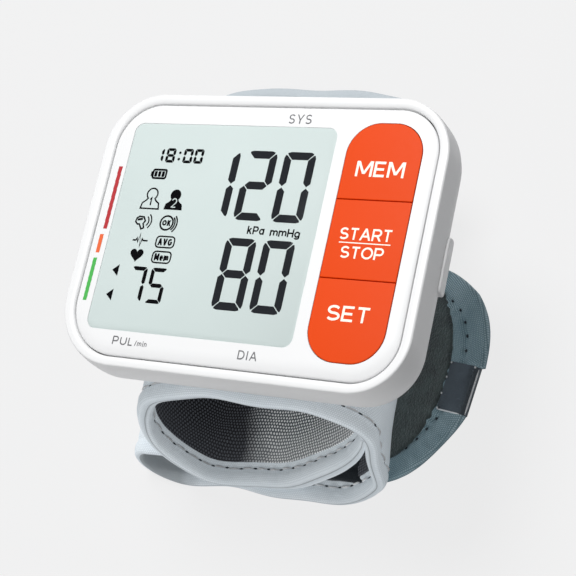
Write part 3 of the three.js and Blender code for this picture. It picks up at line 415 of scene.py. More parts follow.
# glow is painted light; inner and back are shares of painted shade on the inner side and towards the far
# edge
cuff_cloth = cuff_cloth_finish(
    "pale_cuff_cloth", linear(216, 225, 231), linear(240, 244, 248), relief=0.7, back=0.5,
    glow=0.36, inner=0.14, seam_shade_end=176.0)
strap_weave = cuff_cloth_finish(
    "slate_strap_weave", linear(150, 176, 188), linear(196, 216, 226), pitch=0.5, depth=0.1)
# The hem's glow is painted light
hem_tape = cuff_cloth_finish(
    "slate_hem_tape", linear(104, 132, 142), linear(214, 234, 242), pitch=0.44, depth=0.13,
    relief=0.85, glow=0.14)
# A dark copy of the slate strap cloth: painted shade for the threaded strap between the cuff's layers
shaded_cloth = cuff_cloth_finish("slate_inner_cloth_painted_shade", linear(38, 44, 50), linear(58, 66, 74))


def mesh_lining():
    """Open knitted mesh: pale thread loops over a dark layer, with painted shade towards the fold and along
    a crease, painted light near the front edge and a faint glow that is painted light.
    """
    look = Finish("open_mesh_lining")
    u, v = look.cloth()
    pulled = look.noise(120, detail=2) * 2.4
    rows = v / MESH_PITCH_V + pulled
    loop_u = abs((((u / MESH_PITCH_U + (rows.floor() % 2.0) * 0.5 + pulled) % 1.0) - 0.5) * 2.0)
    loop_v = abs(((rows % 1.0) - 0.5) * 2.0)
    loops = (1.5 - (loop_u * loop_u * 1.3 + loop_v * loop_v) * 1.9).clamped()
    drift = look.noise(70, detail=3) * 14
    # Painted shade: the loops and the layer under them darken towards the fold and along a crease
    shaded = ((u + drift - MESH_FOLD_SHADE) / 9).clamped()
    crease = (1 - abs((u + drift - MESH_CREASE_SHADE) / 1.6)).clamped()
    pale = look.mixed(look.noise(160, detail=3), linear(250, 252, 253), linear(255, 255, 255))
    pale = look.mixed(shaded, pale, linear(92, 95, 102))
    pale = look.mixed(crease * 0.7, pale, linear(210, 214, 216))
    under = look.mixed(shaded, linear(84, 92, 97), linear(12, 13, 17))
    # Painted light: the layer under the loops is lighter near the front edge
    under = look.mixed((1 - v / 14).clamped() * 0.34, under, pale)
    shade = look.mixed(loops, under, pale)
    # The emission is painted light: the mesh glows faintly
    return look.surface(
        Base_Color=shade, Roughness=0.8, Normal=look.bump(loops, 0.9, 0.16), Emission_Color=shade,
        Emission_Strength=0.15, Sheen_Weight=0.1)


def looped_fleece():
    look = Finish("dark_loop_fleece")
    tuft = look.noise(1500, detail=4, rough=0.7)
    cloud = look.noise(210, detail=4)
    knots = look.cells(1900)
    cloud = ((cloud - 0.5) * 2.2 + 0.5).clamped()
    shade = look.mixed(cloud, linear(32, 42, 42), linear(78, 92, 90))
    shade = look.mixed((tuft * 1.6 - 0.5).clamped() * 0.4, shade, linear(106, 120, 118))
    return look.surface(
        Base_Color=shade, Roughness=0.95, Normal=look.bump(tuft * 1.4 - knots, 0.8, 0.25),
        Sheen_Weight=0.5, Sheen_Roughness=0.6)


def thread_finish(name, colour):
    look = Finish(name)
    twist = look.noise(3000, detail=2)
    shade = look.mixed(twist, dimmed(colour, 0.75), colour)
    return look.surface(Base_Color=shade, Roughness=0.7, Normal=look.bump(twist, 0.5, 0.05))


def clip_metal():
    """Dark polished sheet with a faint grain and light scratches."""
    look = Finish("dark_clip_metal")
    cloud = look.noise(110, detail=4)
    scratch = look.noise(700, detail=2, stretch=(1.0, 14.0, 1.0))
    shade = look.mixed(cloud, linear(66, 73, 78), linear(112, 120, 128))
    gloss = scratch * 0.14 + cloud * 0.1 + 0.18
    return look.surface(
        Base_Color=shade, Roughness=gloss, Metallic=0.75, Normal=look.bump(cloud, 0.15, 0.04))


mesh_cloth = mesh_lining()
fleece = looped_fleece()
pale_thread = thread_finish("pale_thread", linear(250, 251, 252))
# Dark thread for the strap end's seam, also used as painted shade in the cuff's needle dimples
dark_thread_and_dimple_shade = thread_finish("dark_thread_and_dimple_shade", linear(58, 66, 74))
clip_finish = clip_metal()
# Pale metal: painted highlights along the clip's edges, and the clip's crimp dots
edge_highlight_and_crimp_metal = plain("clip_edge_highlight_and_crimp_metal", (0.9, 0.91, 0.92), 0.3, metal=0.4, tone=0.1)

node_finishes = {
    "circuit_board": circuit_green(),
    "cell_wrap": cell_wrap(),
    "housing_white": white_plastic,
    "key_orange": key_plastic,
    "window_clear": window_glass,
    "display_cell": display_face,
    "dark_rubber": dark_rubber,
    "pale_silicone": pale_silicone,
    "inner_black": inner_black,
    "inner_white": inner_white,
    "bare_steel": bare_steel,
    "cuff_cloth": cuff_cloth,
    "cuff_mesh": mesh_cloth,
    "strap_weave": strap_weave,
    "tail_pile": fleece,
    "clip_metal": clip_finish,
}

for part in frame["record"]["subparts"]:
    node = frame["nodes"][part["node"]]
    node.data.materials.clear()
    node.data.materials.append(node_finishes[part["material_slot"]])
    node.data.shade_smooth()
    node.data.set_sharp_from_angle(angle=math.radians(32))

# Housing shell. Edges are given as left, right, near and far, and corner radii go from the far
# right corner against the clock.
GAP = (-39.5, 39.0, -29.2, 29.3)
GAP_RADII = (10.2, 10.4, 12.2, 10)
RIM = (-42.85, 41.85, -32.4, 32.05)
RIM_RADII = (14.2, 13.6, 15.6, 13)
BACK_RADII_GROW = (1.2, 0.6, 0.8, -1)
# The outer edge of the rim's flat top, from which the walls flare out
RIM_TOP = (-42.3, 41.3, -31.35, 31.65)
RIM_ROUND, RIM_ROUND_START, RIM_ROUND_FLARE = 0.55, 0.1, 0.02
RIM_WIDTH = 2.4
WALL_DEPTH = 7.4
PARTING = 12.5
HOUSING_DEPTH = 19.6
DOOR_LEFT, DOOR_HALF, DOOR_TOP = 18.2, 23.6, 5.0
DOOR_SKIN, SHELL_SKIN = 1.1, 0.8
DOOR_PLANES = [
    ((DOOR_LEFT, 0, 0), (1, 0, 0)), ((0, DOOR_HALF, 0), (0, 1, 0)), ((0, -DOOR_HALF, 0), (0, 1, 0))]
HINGE_ACROSS, HINGE_DEPTH, HINGE_RADIUS, HINGE_END_GAP = 18.6, 16.9, 0.9, 0.4
# The ledge round the face and the top of the rim, as pairs of a share across and a depth
LEDGE = [
    (0, 2.3), (0, 0.8), (0.03, 0.52), (0.08, 0.37), (0.16, 0.25), (0.28, 0.14), (0.42, 0.07), (0.6, 0.05)]
# The wall above and beside the door, as pairs of a depth and a flare
WALL_ABOVE = [(1.5, 0.3), (2.5, 0.52), (3.5, 0.7)]
WALL_BESIDE = [(DOOR_TOP, 0.9), (5.5, 0.94), (6.5, 0.99)]
# The back edge, as pairs of how far it has come in and its depth under the face
BACK_EDGE = [(0.3, WALL_DEPTH), (0.42, 8.0), (0.75, 8.7), (1.3, 9.6), (2.0, 10.8), (3.05, PARTING)]
INNER_LIP = [(3.4, PARTING), (4.6, PARTING - 0.2)]
LOWER_BACK = [(3.2, 12.8), (4.6, 15.0), (5.9, 16.9), (7.1, 18.4), (8.1, 19.25), (9.3, HOUSING_DEPTH)]
# The fingertip tab at the door's lower right, as left, right, low and high in a plane of its own,
# and its edge as pairs of an inset and a place across
TAB_SIDES, TAB_RADIUS = (-7.6, 4.4, -10.2, -6.3), 1.2
TAB_EDGE = [(0, 40.6), (0, 42.12), (0.08, 42.26), (0.22, 42.34), (0.6, 42.34), (0.75, 42.28), (1.1, 42.26)]
TAB_LEAN_FROM, TAB_LEAN = 8.2, 0.3


def housing_ring(across, depth, reach=0.0, flare=1.0):
    """A ring of the housing. Across goes from 0 at the gap round the face to 1 at the rim's outer edge,
    and flare from 0 at that edge to 1 at the widest part of the wall."""
    gap, top, rim = np.array(GAP), np.array(RIM_TOP), np.array(RIM)
    left, right, near, far = gap + (top - gap) * across + (rim - top) * flare
    radii = np.array(GAP_RADII) + (np.array(RIM_RADII) - np.array(GAP_RADII)) * (0.8 * across + 0.2 * flare)
    eased = min(max(depth - 1.5, 0) / (WALL_DEPTH - 1.5), 1)
    radii = radii + np.array(BACK_RADII_GROW) * eased - reach
    outline = rounded_outline(left + reach, right - reach, near + reach, far - reach, radii, steps=22)
    return flat_ring(outline, -depth)


def build_housing():
    rings = [housing_ring(across, depth, flare=0) for across, depth in LEDGE]
    for share in np.linspace(0, 1, 9):
        angle = share * math.pi / 2
        across = 1 - RIM_ROUND / RIM_WIDTH * (1 - math.sin(angle))
        depth = RIM_ROUND_START + RIM_ROUND * (1 - math.cos(angle))
        rings.append(housing_ring(across, depth, flare=RIM_ROUND_FLARE * share))
    rings += [housing_ring(1, depth, flare=flare) for depth, flare in WALL_ABOVE + WALL_BESIDE]
    rings += [housing_ring(1, depth, reach) for reach, depth in BACK_EDGE + INNER_LIP]
    shell = add_piece("housing_front_shell", *cut_skin(rings, False, SHELL_SKIN), white_plastic)
    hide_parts("front_cover")


def in_door(place):
    return place[0] > DOOR_LEFT and abs(place[1]) < DOOR_HALF and place[2] < -DOOR_TOP


def cut_skin(rings, of_door, thickness):
    """The skin through rings, inside or outside the door's edges, thickened inwards."""
    points, faces = loft(rings, cap_ends=False)
    if of_door:
        faces.append(tuple(range(len(points) - len(rings[0]), len(points))))
    work, _ = open_work(points, faces)
    for place, normal in DOOR_PLANES:
        parts = [*work.verts, *work.edges, *work.faces]
        bmesh.ops.bisect_plane(work, geom=parts, plane_co=place, plane_no=normal, dist=1e-5)
    under = Vector((0, 0, -0.01))
    others = [face for face in work.faces if in_door(face.calc_center_median() + under) != of_door]
    bmesh.ops.delete(work, geom=others, context="FACES")
    bmesh.ops.recalc_face_normals(work, faces=work.faces)
    bmesh.ops.solidify(work, geom=list(work.faces), thickness=thickness)
    return close_work(work)


def build_battery_door():
    """The door round the back edge of the key side, with the tab that a fingertip lifts."""
    rings = [housing_ring(1, depth, flare=flare) for depth, flare in WALL_BESIDE]
    rings += [housing_ring(1, depth, reach) for reach, depth in BACK_EDGE[:-1] + LOWER_BACK]
    hinge_run = np.linspace(HINGE_END_GAP - DOOR_HALF, DOOR_HALF - HINGE_END_GAP, 6)
    knuckle = tube_through([(HINGE_ACROSS, y, -HINGE_DEPTH) for y in hinge_run], HINGE_RADIUS, sides=14)
    forms = [cut_skin(rings, True, DOOR_SKIN), build_door_tab(), knuckle]
    door = add_piece("battery_door_shell", *join_forms(forms), white_plastic, body="door", sharp=40)
    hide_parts("battery_door")


def build_door_tab():
    """A thin rounded pad, standing a little off the wall."""
    outline = box_outline(*TAB_SIDES, TAB_RADIUS, steps=6)
    rings = []
    for inset, x in TAB_EDGE:
        ring = inset_outline(outline, inset) if inset else outline
        lean = np.maximum(-ring[:, 1] - TAB_LEAN_FROM, 0) * TAB_LEAN
        rings.append(np.column_stack([x - lean, ring]))
    return loft(rings)


# Face panel, window and keys
PANEL_GAP = 0.22
PANEL_ROLL, PANEL_DROP = 2.9, 0.55
PANEL_SIDE_ROUND = [(0, -0.16), (0.05, -0.05)]
PANEL_TOP_INSETS = (0.18, 0.5, 0.9, 1.3, 1.7, 2.2, PANEL_ROLL)
OPENING_EDGE = [(-0.05, 0), (0, -0.05), (0, -2)]
WINDOW_SLACK, KEY_SLACK = 0.02, 0.14
WINDOW_SIDES, WINDOW_RADIUS = (-35, 15.6, -23.5, 24.45), 2.2
KEY_LEFT, KEY_RIGHT, KEY_LOW, KEY_HIGH, KEY_RADIUS = 18.6, 35.55, -25.4, 25.7, 6.9
KEY_JOINTS = (8.87, -8.14)
KEY_HALF_SLIT = 0.1
KEY_END = 40
KEY_EDGE = [(0, -3), (0, -0.02), (0.03, 0.05), (0.1, 0.09), (0.22, 0.1)]


def panel_drop(inset):
    """How far the panel's top rolls down towards its edge."""
    return -PANEL_DROP * max(1 - inset / PANEL_ROLL, 0) ** 2


def build_face_panel():
    left, right, low, high = GAP
    outline = rounded_outline(
        left + PANEL_GAP, right - PANEL_GAP, low + PANEL_GAP, high - PANEL_GAP,
        [radius - PANEL_GAP for radius in GAP_RADII])
    side = [(0, -2)] + [(inset, panel_drop(inset) + below) for inset, below in PANEL_SIDE_ROUND]
    top = [(inset, panel_drop(inset)) for inset in PANEL_TOP_INSETS]
    work, corners = open_work(*loft(plate_rings(outline, side + top), cap_ends=False))
    fill = edges_round(work, corners[-len(outline):])
    for opening in (window_outline(WINDOW_SLACK), key_column(KEY_SLACK)):
        loops = [[work.verts.new(p) for p in ring] for ring in plate_rings(opening, OPENING_EDGE)]
        size = len(opening)
        for upper, lower in zip(loops, loops[1:]):
            for i in range(size):
                k = (i + 1) % size
                work.faces.new([upper[i], upper[k], lower[k], lower[i]])
        fill += edges_round(work, loops[0])
    bmesh.ops.triangle_fill(work, edges=fill, use_beauty=True)
    panel = add_piece("face_panel_plate", *close_work(work), white_plastic)
    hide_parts("face_panel")


def grown_box(left, right, low, high, radius, grow, steps):
    return box_outline(left - grow, right + grow, low - grow, high + grow, radius + grow, steps)


def window_outline(grow):
    return grown_box(*WINDOW_SIDES, WINDOW_RADIUS, grow, 10)


def key_column(grow):
    return grown_box(KEY_LEFT, KEY_RIGHT, KEY_LOW, KEY_HIGH, KEY_RADIUS, grow, 24)


# Keys as node, body, and the places of their lower and upper ends. The outer ends lie past the column.
KEYS = {
    "key_mem": ("mem_key", KEY_JOINTS[0], KEY_END),
    "key_start_stop": ("start_stop_key", KEY_JOINTS[1], KEY_JOINTS[0]),
    "key_set": ("set_key", -KEY_END, KEY_JOINTS[1]),
}


def build_keys():
    column = key_column(0)
    for node, (body, low, high) in KEYS.items():
        low, high = low + KEY_HALF_SLIT, high - KEY_HALF_SLIT
        outline = [place for place in column if low < place[1] < high]
        ends = [y for y in (low, high) if KEY_LOW < y < KEY_HIGH]
        outline = np.array(outline + [(x, y) for x in (KEY_LEFT, KEY_RIGHT) for y in ends])
        middle = outline.mean(axis=0)
        turn = np.arctan2(outline[:, 1] - middle[1], outline[:, 0] - middle[0])
        rings = plate_rings(outline[np.argsort(turn)], KEY_EDGE)
        cap = add_piece(node + "_cap", *loft(rings), key_plastic, body=body)
        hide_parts(node)


# Printed marks

def bow(x, y, wide, high, start, end, steps=13):
    """Places on an oval between two angles in degrees. A full turn ends where it starts."""
    angles = np.radians(np.linspace(start, end, steps))
    places = [(x + wide * math.cos(a), y + high * math.sin(a)) for a in angles]
    return places[:-1] + places[:1] if abs(end - start) == 360 else places


# Letters as a width, in shares of their height, and strokes in a box of one by one
STEM, FAR_STEM, LOW_STEM = [(0, 0), (0, 1)], [(1, 0), (1, 1)], [(0, 0), (0, 0.7)]
BOWL = bow(0.5, 0.35, 0.5, 0.35, 0, 360, 19)
LETTERS = {
    "A": (0.95, [[(0, 0), (0.5, 1)], [(1, 0), (0.5, 1)], [(0.22, 0.3), (0.5, 0.3), (0.78, 0.3)]]),
    "D": (0.88, [[(0, 0), (0, 1), (0.4, 1), *bow(0.42, 0.5, 0.58, 0.5, 80, -80), (0.4, 0), (0, 0)]]),
    "E": (0.72, [[(1, 1), (0, 1), (0, 0), (1, 0)], [(0, 0.5), (0.45, 0.5), (0.9, 0.5)]]),
    "G": (0.95, [[*bow(0.5, 0.5, 0.5, 0.5, 45, 330), (0.95, 0.45), (0.55, 0.45)]]),
    "H": (0.8, [STEM, FAR_STEM, [(0, 0.5), (0.5, 0.5), (1, 0.5)]]),
    "I": (0.22, [[(0.5, 0), (0.5, 1)]]),
    "K": (0.8, [STEM, [(0, 0.35), (0.95, 1)], [(0.35, 0.55), (1, 0)]]),
    "L": (0.62, [[(0, 1), (0, 0), (1, 0)]]),
    "M": (1.0, [STEM, FAR_STEM, [(0.04, 1), (0.5, 0.2)], [(0.96, 1), (0.5, 0.2)]]),
    "O": (0.98, [bow(0.5, 0.5, 0.5, 0.5, 0, 360, 25)]),
    "P": (0.78, [STEM, [(0, 1), (0.5, 1), *bow(0.6, 0.7, 0.4, 0.3, 80, -80), (0.5, 0.4), (0, 0.4)]]),
    "R": (0.82, [STEM, [(0, 1), (0.5, 1), *bow(0.58, 0.71, 0.4, 0.29, 80, -80), (0.5, 0.42), (0, 0.42)],
                 [(0.5, 0.4), (0.98, 0)]]),
    "S": (0.78, [bow(0.5, 0.745, 0.46, 0.255, 28, 262) + bow(0.5, 0.25, 0.5, 0.25, 82, -152)]),
    "T": (0.8, [[(0, 1), (0.5, 1), (1, 1)], [(0.5, 0), (0.5, 1)]]),
    "U": (0.86, [[(0, 1), (0, 0.4), *bow(0.5, 0.38, 0.5, 0.38, 190, 350), (1, 0.4), (1, 1)]]),
    "V": (0.9, [[(0, 1), (0.5, 0)], [(1, 1), (0.5, 0)]]),
    "Y": (0.9, [[(0, 1), (0.5, 0.45)], [(1, 1), (0.5, 0.45)], [(0.5, 0), (0.5, 0.45)]]),
    "a": (0.7, [BOWL, [(1, 0), (1, 0.7)]]),
    "e": (0.7, [[(0.02, 0.36), (0.98, 0.36), *bow(0.5, 0.35, 0.5, 0.35, 10, 320)]]),
    "g": (0.7, [BOWL, [(1, 0.7), (1, -0.05), *bow(0.5, -0.1, 0.5, 0.2, -10, -160)]]),
    "i": (0.2, [[(0.5, 0), (0.5, 0.66)], [(0.5, 0.92), (0.5, 1)]]),
    "k": (0.66, [STEM, [(0, 0.3), (0.9, 0.7)], [(0.35, 0.42), (1, 0)]]),
    "m": (1.0, [LOW_STEM, [(0, 0.4), *bow(0.25, 0.45, 0.25, 0.25, 170, 10), (0.5, 0)],
                [(0.5, 0.4), *bow(0.75, 0.45, 0.25, 0.25, 170, 10), (1, 0)]]),
    "n": (0.62, [LOW_STEM, [(0, 0.4), *bow(0.5, 0.4, 0.5, 0.3, 170, 10), (1, 0)]]),
    "/": (0.45, [[(0, 0), (1, 1)]]),
    "1": (0.5, [[(0.1, 0.75), (0.7, 1), (0.7, 0)]]),
    "2": (0.7, [[*bow(0.5, 0.7, 0.5, 0.3, 165, -35), (0.05, 0), (1, 0)]]),
}
# Figures as the bars of a seven-bar sign
FIGURES = {
    "0": "top bottom left_high right_high left_low right_low",
    "1": "right_high right_low",
    "2": "top right_high centre left_low bottom",
    "5": "top left_high centre right_low bottom",
    "7": "top right_high right_low",
    "8": "top bottom left_high right_high left_low right_low centre",
}


MARK_STEP, MARK_LAYERS = 0.004, 6
MITRE_SHARE = 0.36
# A straight stroke gets places on the way, so that it follows a curved edge
STRAIGHT_PLACES = 6


class Marks:
    """Flat printed shapes in the plane of the face, gathered into one thin piece."""

    def __init__(self, height):
        self.height, self.points, self.faces, self.strokes = height, [], [], 0

    def add(self, outline):
        """Adds places, each shape a hair above the one before, so that crossing ones share no plane."""
        lift = MARK_STEP * (self.strokes % MARK_LAYERS)
        self.strokes += 1
        self.points += [(x, y, lift) for x, y in outline]

    def shape(self, outline):
        first = len(self.points)
        self.add(outline)
        self.faces.append(tuple(range(first, len(self.points))))

    def stroke(self, path, width, closed=False):
        path = np.array(path, float)
        if len(path) == 2:
            path = np.linspace(path[0], path[1], STRAIGHT_PLACES)
        count = len(path)
        left, right = [], []
        for i in range(count):
            before = path[i - 1] if closed or i > 0 else path[i]
            after = path[(i + 1) % count] if closed or i < count - 1 else path[i]
            ways = [w / max(np.linalg.norm(w), 1e-9) for w in (path[i] - before, after - path[i])]
            run = ways[0] + ways[1]
            run /= max(np.linalg.norm(run), 1e-9)
            side = np.array([-run[1], run[0]])
            spread = max(abs(run @ (ways[1] if np.any(ways[1]) else ways[0])), 0.5)
            left.append(path[i] + side * width / 2 / spread)
            right.append(path[i] - side * width / 2 / spread)
        first = len(self.points)
        self.add(left + right)
        for i in range(count if closed else count - 1):
            k = (i + 1) % count
            self.faces.append((first + i, first + k, first + count + k, first + count + i))

    def arc(self, x, y, radius, start, end, width, steps):
        path = bow(x, y, radius, radius, start, end, steps)
        closed = abs(end - start) == 360
        self.stroke(path[:-1] if closed else path, width, closed)

    def disc(self, x, y, radius):
        self.shape(bow(x, y, radius, radius, 0, 360, 21)[:-1])

    def word(self, text, left, right, low, high, stem, gap=0.22):
        """A word of stroke letters fitted to its place, with gaps as a share of its height."""
        cap = high - low
        wide = [LETTERS[letter][0] * cap for letter in text]
        spare = (len(text) - 1) * gap * cap
        scale = (right - left) / (sum(wide) + spare)
        at = left
        for letter, width in zip(text, wide):
            near, across = at + stem / 2, width * scale - stem
            for path in LETTERS[letter][1]:
                placed = [(near + x * across, low + stem / 2 + y * (cap - stem)) for x, y in path]
                if len(path) == 2 and path[0][0] != path[1][0] and path[0][1] != path[1][1]:
                    self.slant(*placed, stem)
                elif len(path) == 2 and path[0][0] == path[1][0]:
                    (x, bottom), (_, top) = sorted(placed, key=lambda place: place[1])
                    self.stroke([(x, bottom - stem / 2), (x, top + stem / 2)], stem)
                else:
                    closed = path[0] == path[-1]
                    self.stroke(placed[:-1] if closed else placed, stem, closed)
            at += width * scale + gap * cap * scale

    def slant(self, start, end, stem):
        """A slanting stroke cut level at both ends."""
        (x, bottom), (there, top) = sorted((start, end), key=lambda place: place[1])
        bottom, top = bottom - stem / 2, top + stem / 2
        half = min(stem / 2 * math.hypot(there - x, top - bottom) / (top - bottom), stem)
        self.shape([(x - half, bottom), (x + half, bottom), (there + half, top), (there - half, top)])

    def digit(self, figure, left, right, low, high, width, gap):
        """A figure of seven bars with mitred ends."""
        middle = (low + high) / 2
        half, cut = width / 2, width * MITRE_SHARE
        bars = {}
        for name, x, way in (("left", left, 1), ("right", right, -1)):
            for part, y, turn in (("_high", high, -1), ("_low", low, 1)):
                bars[name + part] = [
                    (x, y + turn * (2 * cut + gap)), (x + way * cut * 0.4, y + turn * (cut * 0.8 + gap)),
                    (x + way * cut, y + turn * (cut + gap)), (x + way * width, y + turn * (width + gap)),
                    (x + way * width, middle - turn * (half + gap)), (x + way * half, middle - turn * gap),
                    (x, middle - turn * half)]
        end = [(2 * cut + gap, 0), (cut * 0.8 + gap, cut * 0.4), (cut + gap, cut), (width + gap, width)]
        for name, y, turn in (("top", high, -1), ("bottom", low, 1)):
            bars[name] = [(right - inwards, y + turn * rise) for inwards, rise in end]
            bars[name] += [(left + inwards, y + turn * rise) for inwards, rise in reversed(end)]
        near, far = left + width + gap, right - width - gap
        bars["centre"] = [
            (left + half + gap, middle), (near, middle + half), (far, middle + half),
            (right - half - gap, middle), (far, middle - half), (near, middle - half)]
        for part in FIGURES[figure].split():
            self.shape(bars[part])

    def piece(self, name, material, body="housing"):
        points = []
        for x, y, lift in self.points:
            points.append((x, y, lift + (self.height(x, y) if callable(self.height) else self.height)))
        return add_piece(name, points, self.faces, material, body=body)


DISPLAY_TOP, NUMBER_RAISE = -0.094, 0.03
FILM_EDGE = [(0, -1.1), (0, -0.12), (0.03, -0.1)]
LENS_EDGE = [(0, -0.055), (0, -0.03), (0.04, -0.01)]
# Rows of figures: a row's low, high, bar width and gap, then each figure with its left and right
DIGIT_ROWS = {
    (3.0, 18.8, 1.75, 0.14): [("1", -10.4, -6.4), ("2", -4.8, 2.6), ("0", 4.3, 11.8)],
    (-16.9, -1.0, 1.75, 0.14): [("8", -5.1, 2.35), ("0", 4.05, 11.5)],
}
SMALL_ROWS = {
    (-16.9, -8.9, 0.9, 0.07): [("7", -26.8, -22.7), ("5", -21.7, -17.6)],
    (15.3, 18.7, 0.66, 0.04): [
        ("1", -28, -25.9), ("8", -25.3, -22.9), ("0", -20.8, -18.4), ("0", -18, -15.7)],
}
CLOCK_DOTS, DOT_RADIUS = [(-21.8, 16.2), (-21.8, 17.7)], 0.32
# Words on the display as left, right, low, high, width of stroke and gap
UNIT_WORDS = {"kPa": (-0.6, 3.5, 0.05, 1.85, 0.34, 0.1), "mmHg": (4.9, 12.0, -0.1, 1.7, 0.34, 0.08)}
FIRST_NUMBER, SECOND_NUMBER = (-26.8, -25.9, 5.0, 7.1, 0.38), (-20.9, -19.55, 4.9, 7.1, 0.24)
RING_WORD = (-22.0, -19.8, 0.7, 2.0, 0.36, 0.12)
# Framed words with the low and high of their frame
FRAMED_WORDS = {"AVG": (-4.25, -1.75), "Mem": (-7.75, -5.2)}
FRAME_SIDES, FRAME_RADIUS, FRAME_LINE = (-22.4, -17.75), 0.8, 0.34
FRAME_PAD_ACROSS, FRAME_PAD = 0.5, 0.46
# The cell sign: its body and its knob as left, right, low, high and radius, and its bars' middles
CELL_BODY, CELL_KNOB = (-27.5, -24.1, 11.55, 13.55, 0.4), (-28.05, -27.4, 12.0, 13.1, 0.1)
CELL_BARS, CELL_BAR_HALF, CELL_BAR_LOW, CELL_BAR_HIGH = (-26.75, -25.8, -24.85), 0.36, 11.9, 13.2
WRIST_WAVES, RING_SIGN, RING_RADIUS = (-26.9, 1.5), (-20.9, 1.35), 1.6
HEART_PLACE, HEART_HALF_WIDTH, HEART_HEIGHT_SHARE = (-26.55, -6.25), 1.7, 1.6 / 15
# The two users' signs as a place across and whether filled, and a sign's head and shoulders
USER_SIGNS, USER_SIGN_LOW, USER_LINE = [(-26.3, False), (-20.25, True)], 4.4, 0.36
HEAD_RADIUS, HEAD_RISE, HEAD_OPEN = 1.35, 3.4, 0.85
SHOULDERS = [(1.3, 1.85), (2.1, 1.3), (2.35, 0)]
POINTERS = [[(-31.8, y), (-30.2, y - 1.35), (-30.2, y + 1.35)] for y in (-10.1, -15.7)]
PALM_LINE = [(-28.5, 1.7), (-27.2, 1.95)]
FIST = [(-28.9, 1.25), (-28.75, 2.1), (-28.1, 2.5), (-27.0, 2.4), (-26.45, 1.5), (-26.85, 0.9),
        (-26.5, -0.1), (-27.1, -0.4), (-27.8, 0.7), (-28.3, 0.7)]
BEAT = [(-28.5, -3.0), (-27.7, -3.0), (-27.4, -2.5), (-27.1, -3.4), (-26.8, -1.5), (-26.4, -4.4),
        (-26.1, -2.6), (-25.8, -3.0), (-24.6, -3.0)]


def rounded_box(left, right, low, high, radius):
    return box_outline(left, right, low, high, radius, steps=4)


def build_display():
    """The reflecting display face right behind a thin clear lens."""
    outline = window_outline(0.0)
    face = add_piece("display_face_film", *loft(plate_rings(outline, FILM_EDGE)), display_face)
    lens = add_piece("display_clear_lens", *loft(plate_rings(outline, LENS_EDGE)), window_glass)
    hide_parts("display_window")
    build_display_marks()


def build_display_marks():
    digits = Marks(DISPLAY_TOP)
    marks = Marks(DISPLAY_TOP)
    for sheet, rows in ((digits, DIGIT_ROWS), (marks, SMALL_ROWS)):
        for (low, high, width, gap), figures in rows.items():
            for figure, left, right in figures:
                sheet.digit(figure, left, right, low, high, width, gap)
    digits.piece("display_digits", digit_ink)
    for x, y in CLOCK_DOTS:
        marks.disc(x, y, DOT_RADIUS)
    for text, place in UNIT_WORDS.items():
        marks.word(text, *place)
    # Cell with three bars
    marks.stroke(rounded_box(*CELL_BODY), 0.48, closed=True)
    marks.shape(rounded_box(*CELL_KNOB))
    for x in CELL_BARS:
        marks.shape(rounded_box(x - CELL_BAR_HALF, x + CELL_BAR_HALF, CELL_BAR_LOW, CELL_BAR_HIGH, 0.1))
    # First user in outline and second user filled
    for x, filled in USER_SIGNS:
        build_user_sign(marks, x, USER_SIGN_LOW, filled)
    marks.word("1", *FIRST_NUMBER)
    # Wrist with waves
    marks.stroke(FIST, 0.38, closed=True)
    marks.stroke(PALM_LINE, 0.5)
    for radius in (1.35, 2.05):
        marks.arc(*WRIST_WAVES, radius, -50, 50, 0.32, steps=9)
    # Ring with waves
    marks.arc(*RING_SIGN, RING_RADIUS, 0, 360, 0.42, steps=29)
    marks.word("OK", *RING_WORD)
    for radius in (2.1, 2.65):
        marks.arc(*RING_SIGN, radius, -48, 40, 0.36, steps=9)
    # Heartbeat trace
    marks.stroke(BEAT, 0.36)
    left, right = FRAME_SIDES
    for text, (low, high) in FRAMED_WORDS.items():
        marks.stroke(rounded_box(left, right, low, high, FRAME_RADIUS), FRAME_LINE, closed=True)
        place = (left + FRAME_PAD_ACROSS, right - FRAME_PAD_ACROSS, low + FRAME_PAD, high - FRAME_PAD)
        marks.word(text, *place, stem=0.4, gap=0.12)
    # Heart
    turn = np.linspace(0, 2 * math.pi, 30, endpoint=False)
    along = 13 * np.cos(turn) - 5 * np.cos(2 * turn) - 2 * np.cos(3 * turn) - np.cos(4 * turn)
    heart = np.column_stack([HEART_HALF_WIDTH * np.sin(turn) ** 3, HEART_HEIGHT_SHARE * along])
    marks.shape((HEART_PLACE + heart)[::-1])
    # Pointers at the left edge
    for pointer in POINTERS:
        marks.shape(pointer)
    ink = marks.piece("display_signs", display_ink)
    number = Marks(DISPLAY_TOP + NUMBER_RAISE)
    number.word("2", *SECOND_NUMBER)
    number.piece("second_user_number", display_face)


def build_user_sign(marks, x, low, filled):
    """A head on shoulders."""
    middle = low + HEAD_RISE
    turn = np.linspace(-HEAD_OPEN, math.pi + HEAD_OPEN, 15)
    outline = [(x + HEAD_RADIUS * math.cos(a), middle + HEAD_RADIUS * math.sin(a)) for a in turn]
    outline += [(x - aside, low + rise) for aside, rise in SHOULDERS]
    outline += [(x + aside, low + rise) for aside, rise in reversed(SHOULDERS)]
    if filled:
        marks.shape(outline)
    else:
        marks.stroke(outline, USER_LINE, closed=True)


PANEL_PRINT_RAISE, KEY_PRINT_HEIGHT = 0.025, 0.115
BAR_HALF_WIDTH, BAR_STEPS = 0.5, 8
# Words on the face as left, right, low, high and width of stroke
FACE_WORDS = {
    "SYS": (3.3, 8.8, 25.2, 27.4, 0.27),
    "DIA": (4.0, 8.5, -26.9, -25.0, 0.25),
    "PUL": (-27.1, -21.9, -26.6, -24.75, 0.27),
    "/min": (-21.4, -18.3, -26.5, -25.35, 0.17),
}
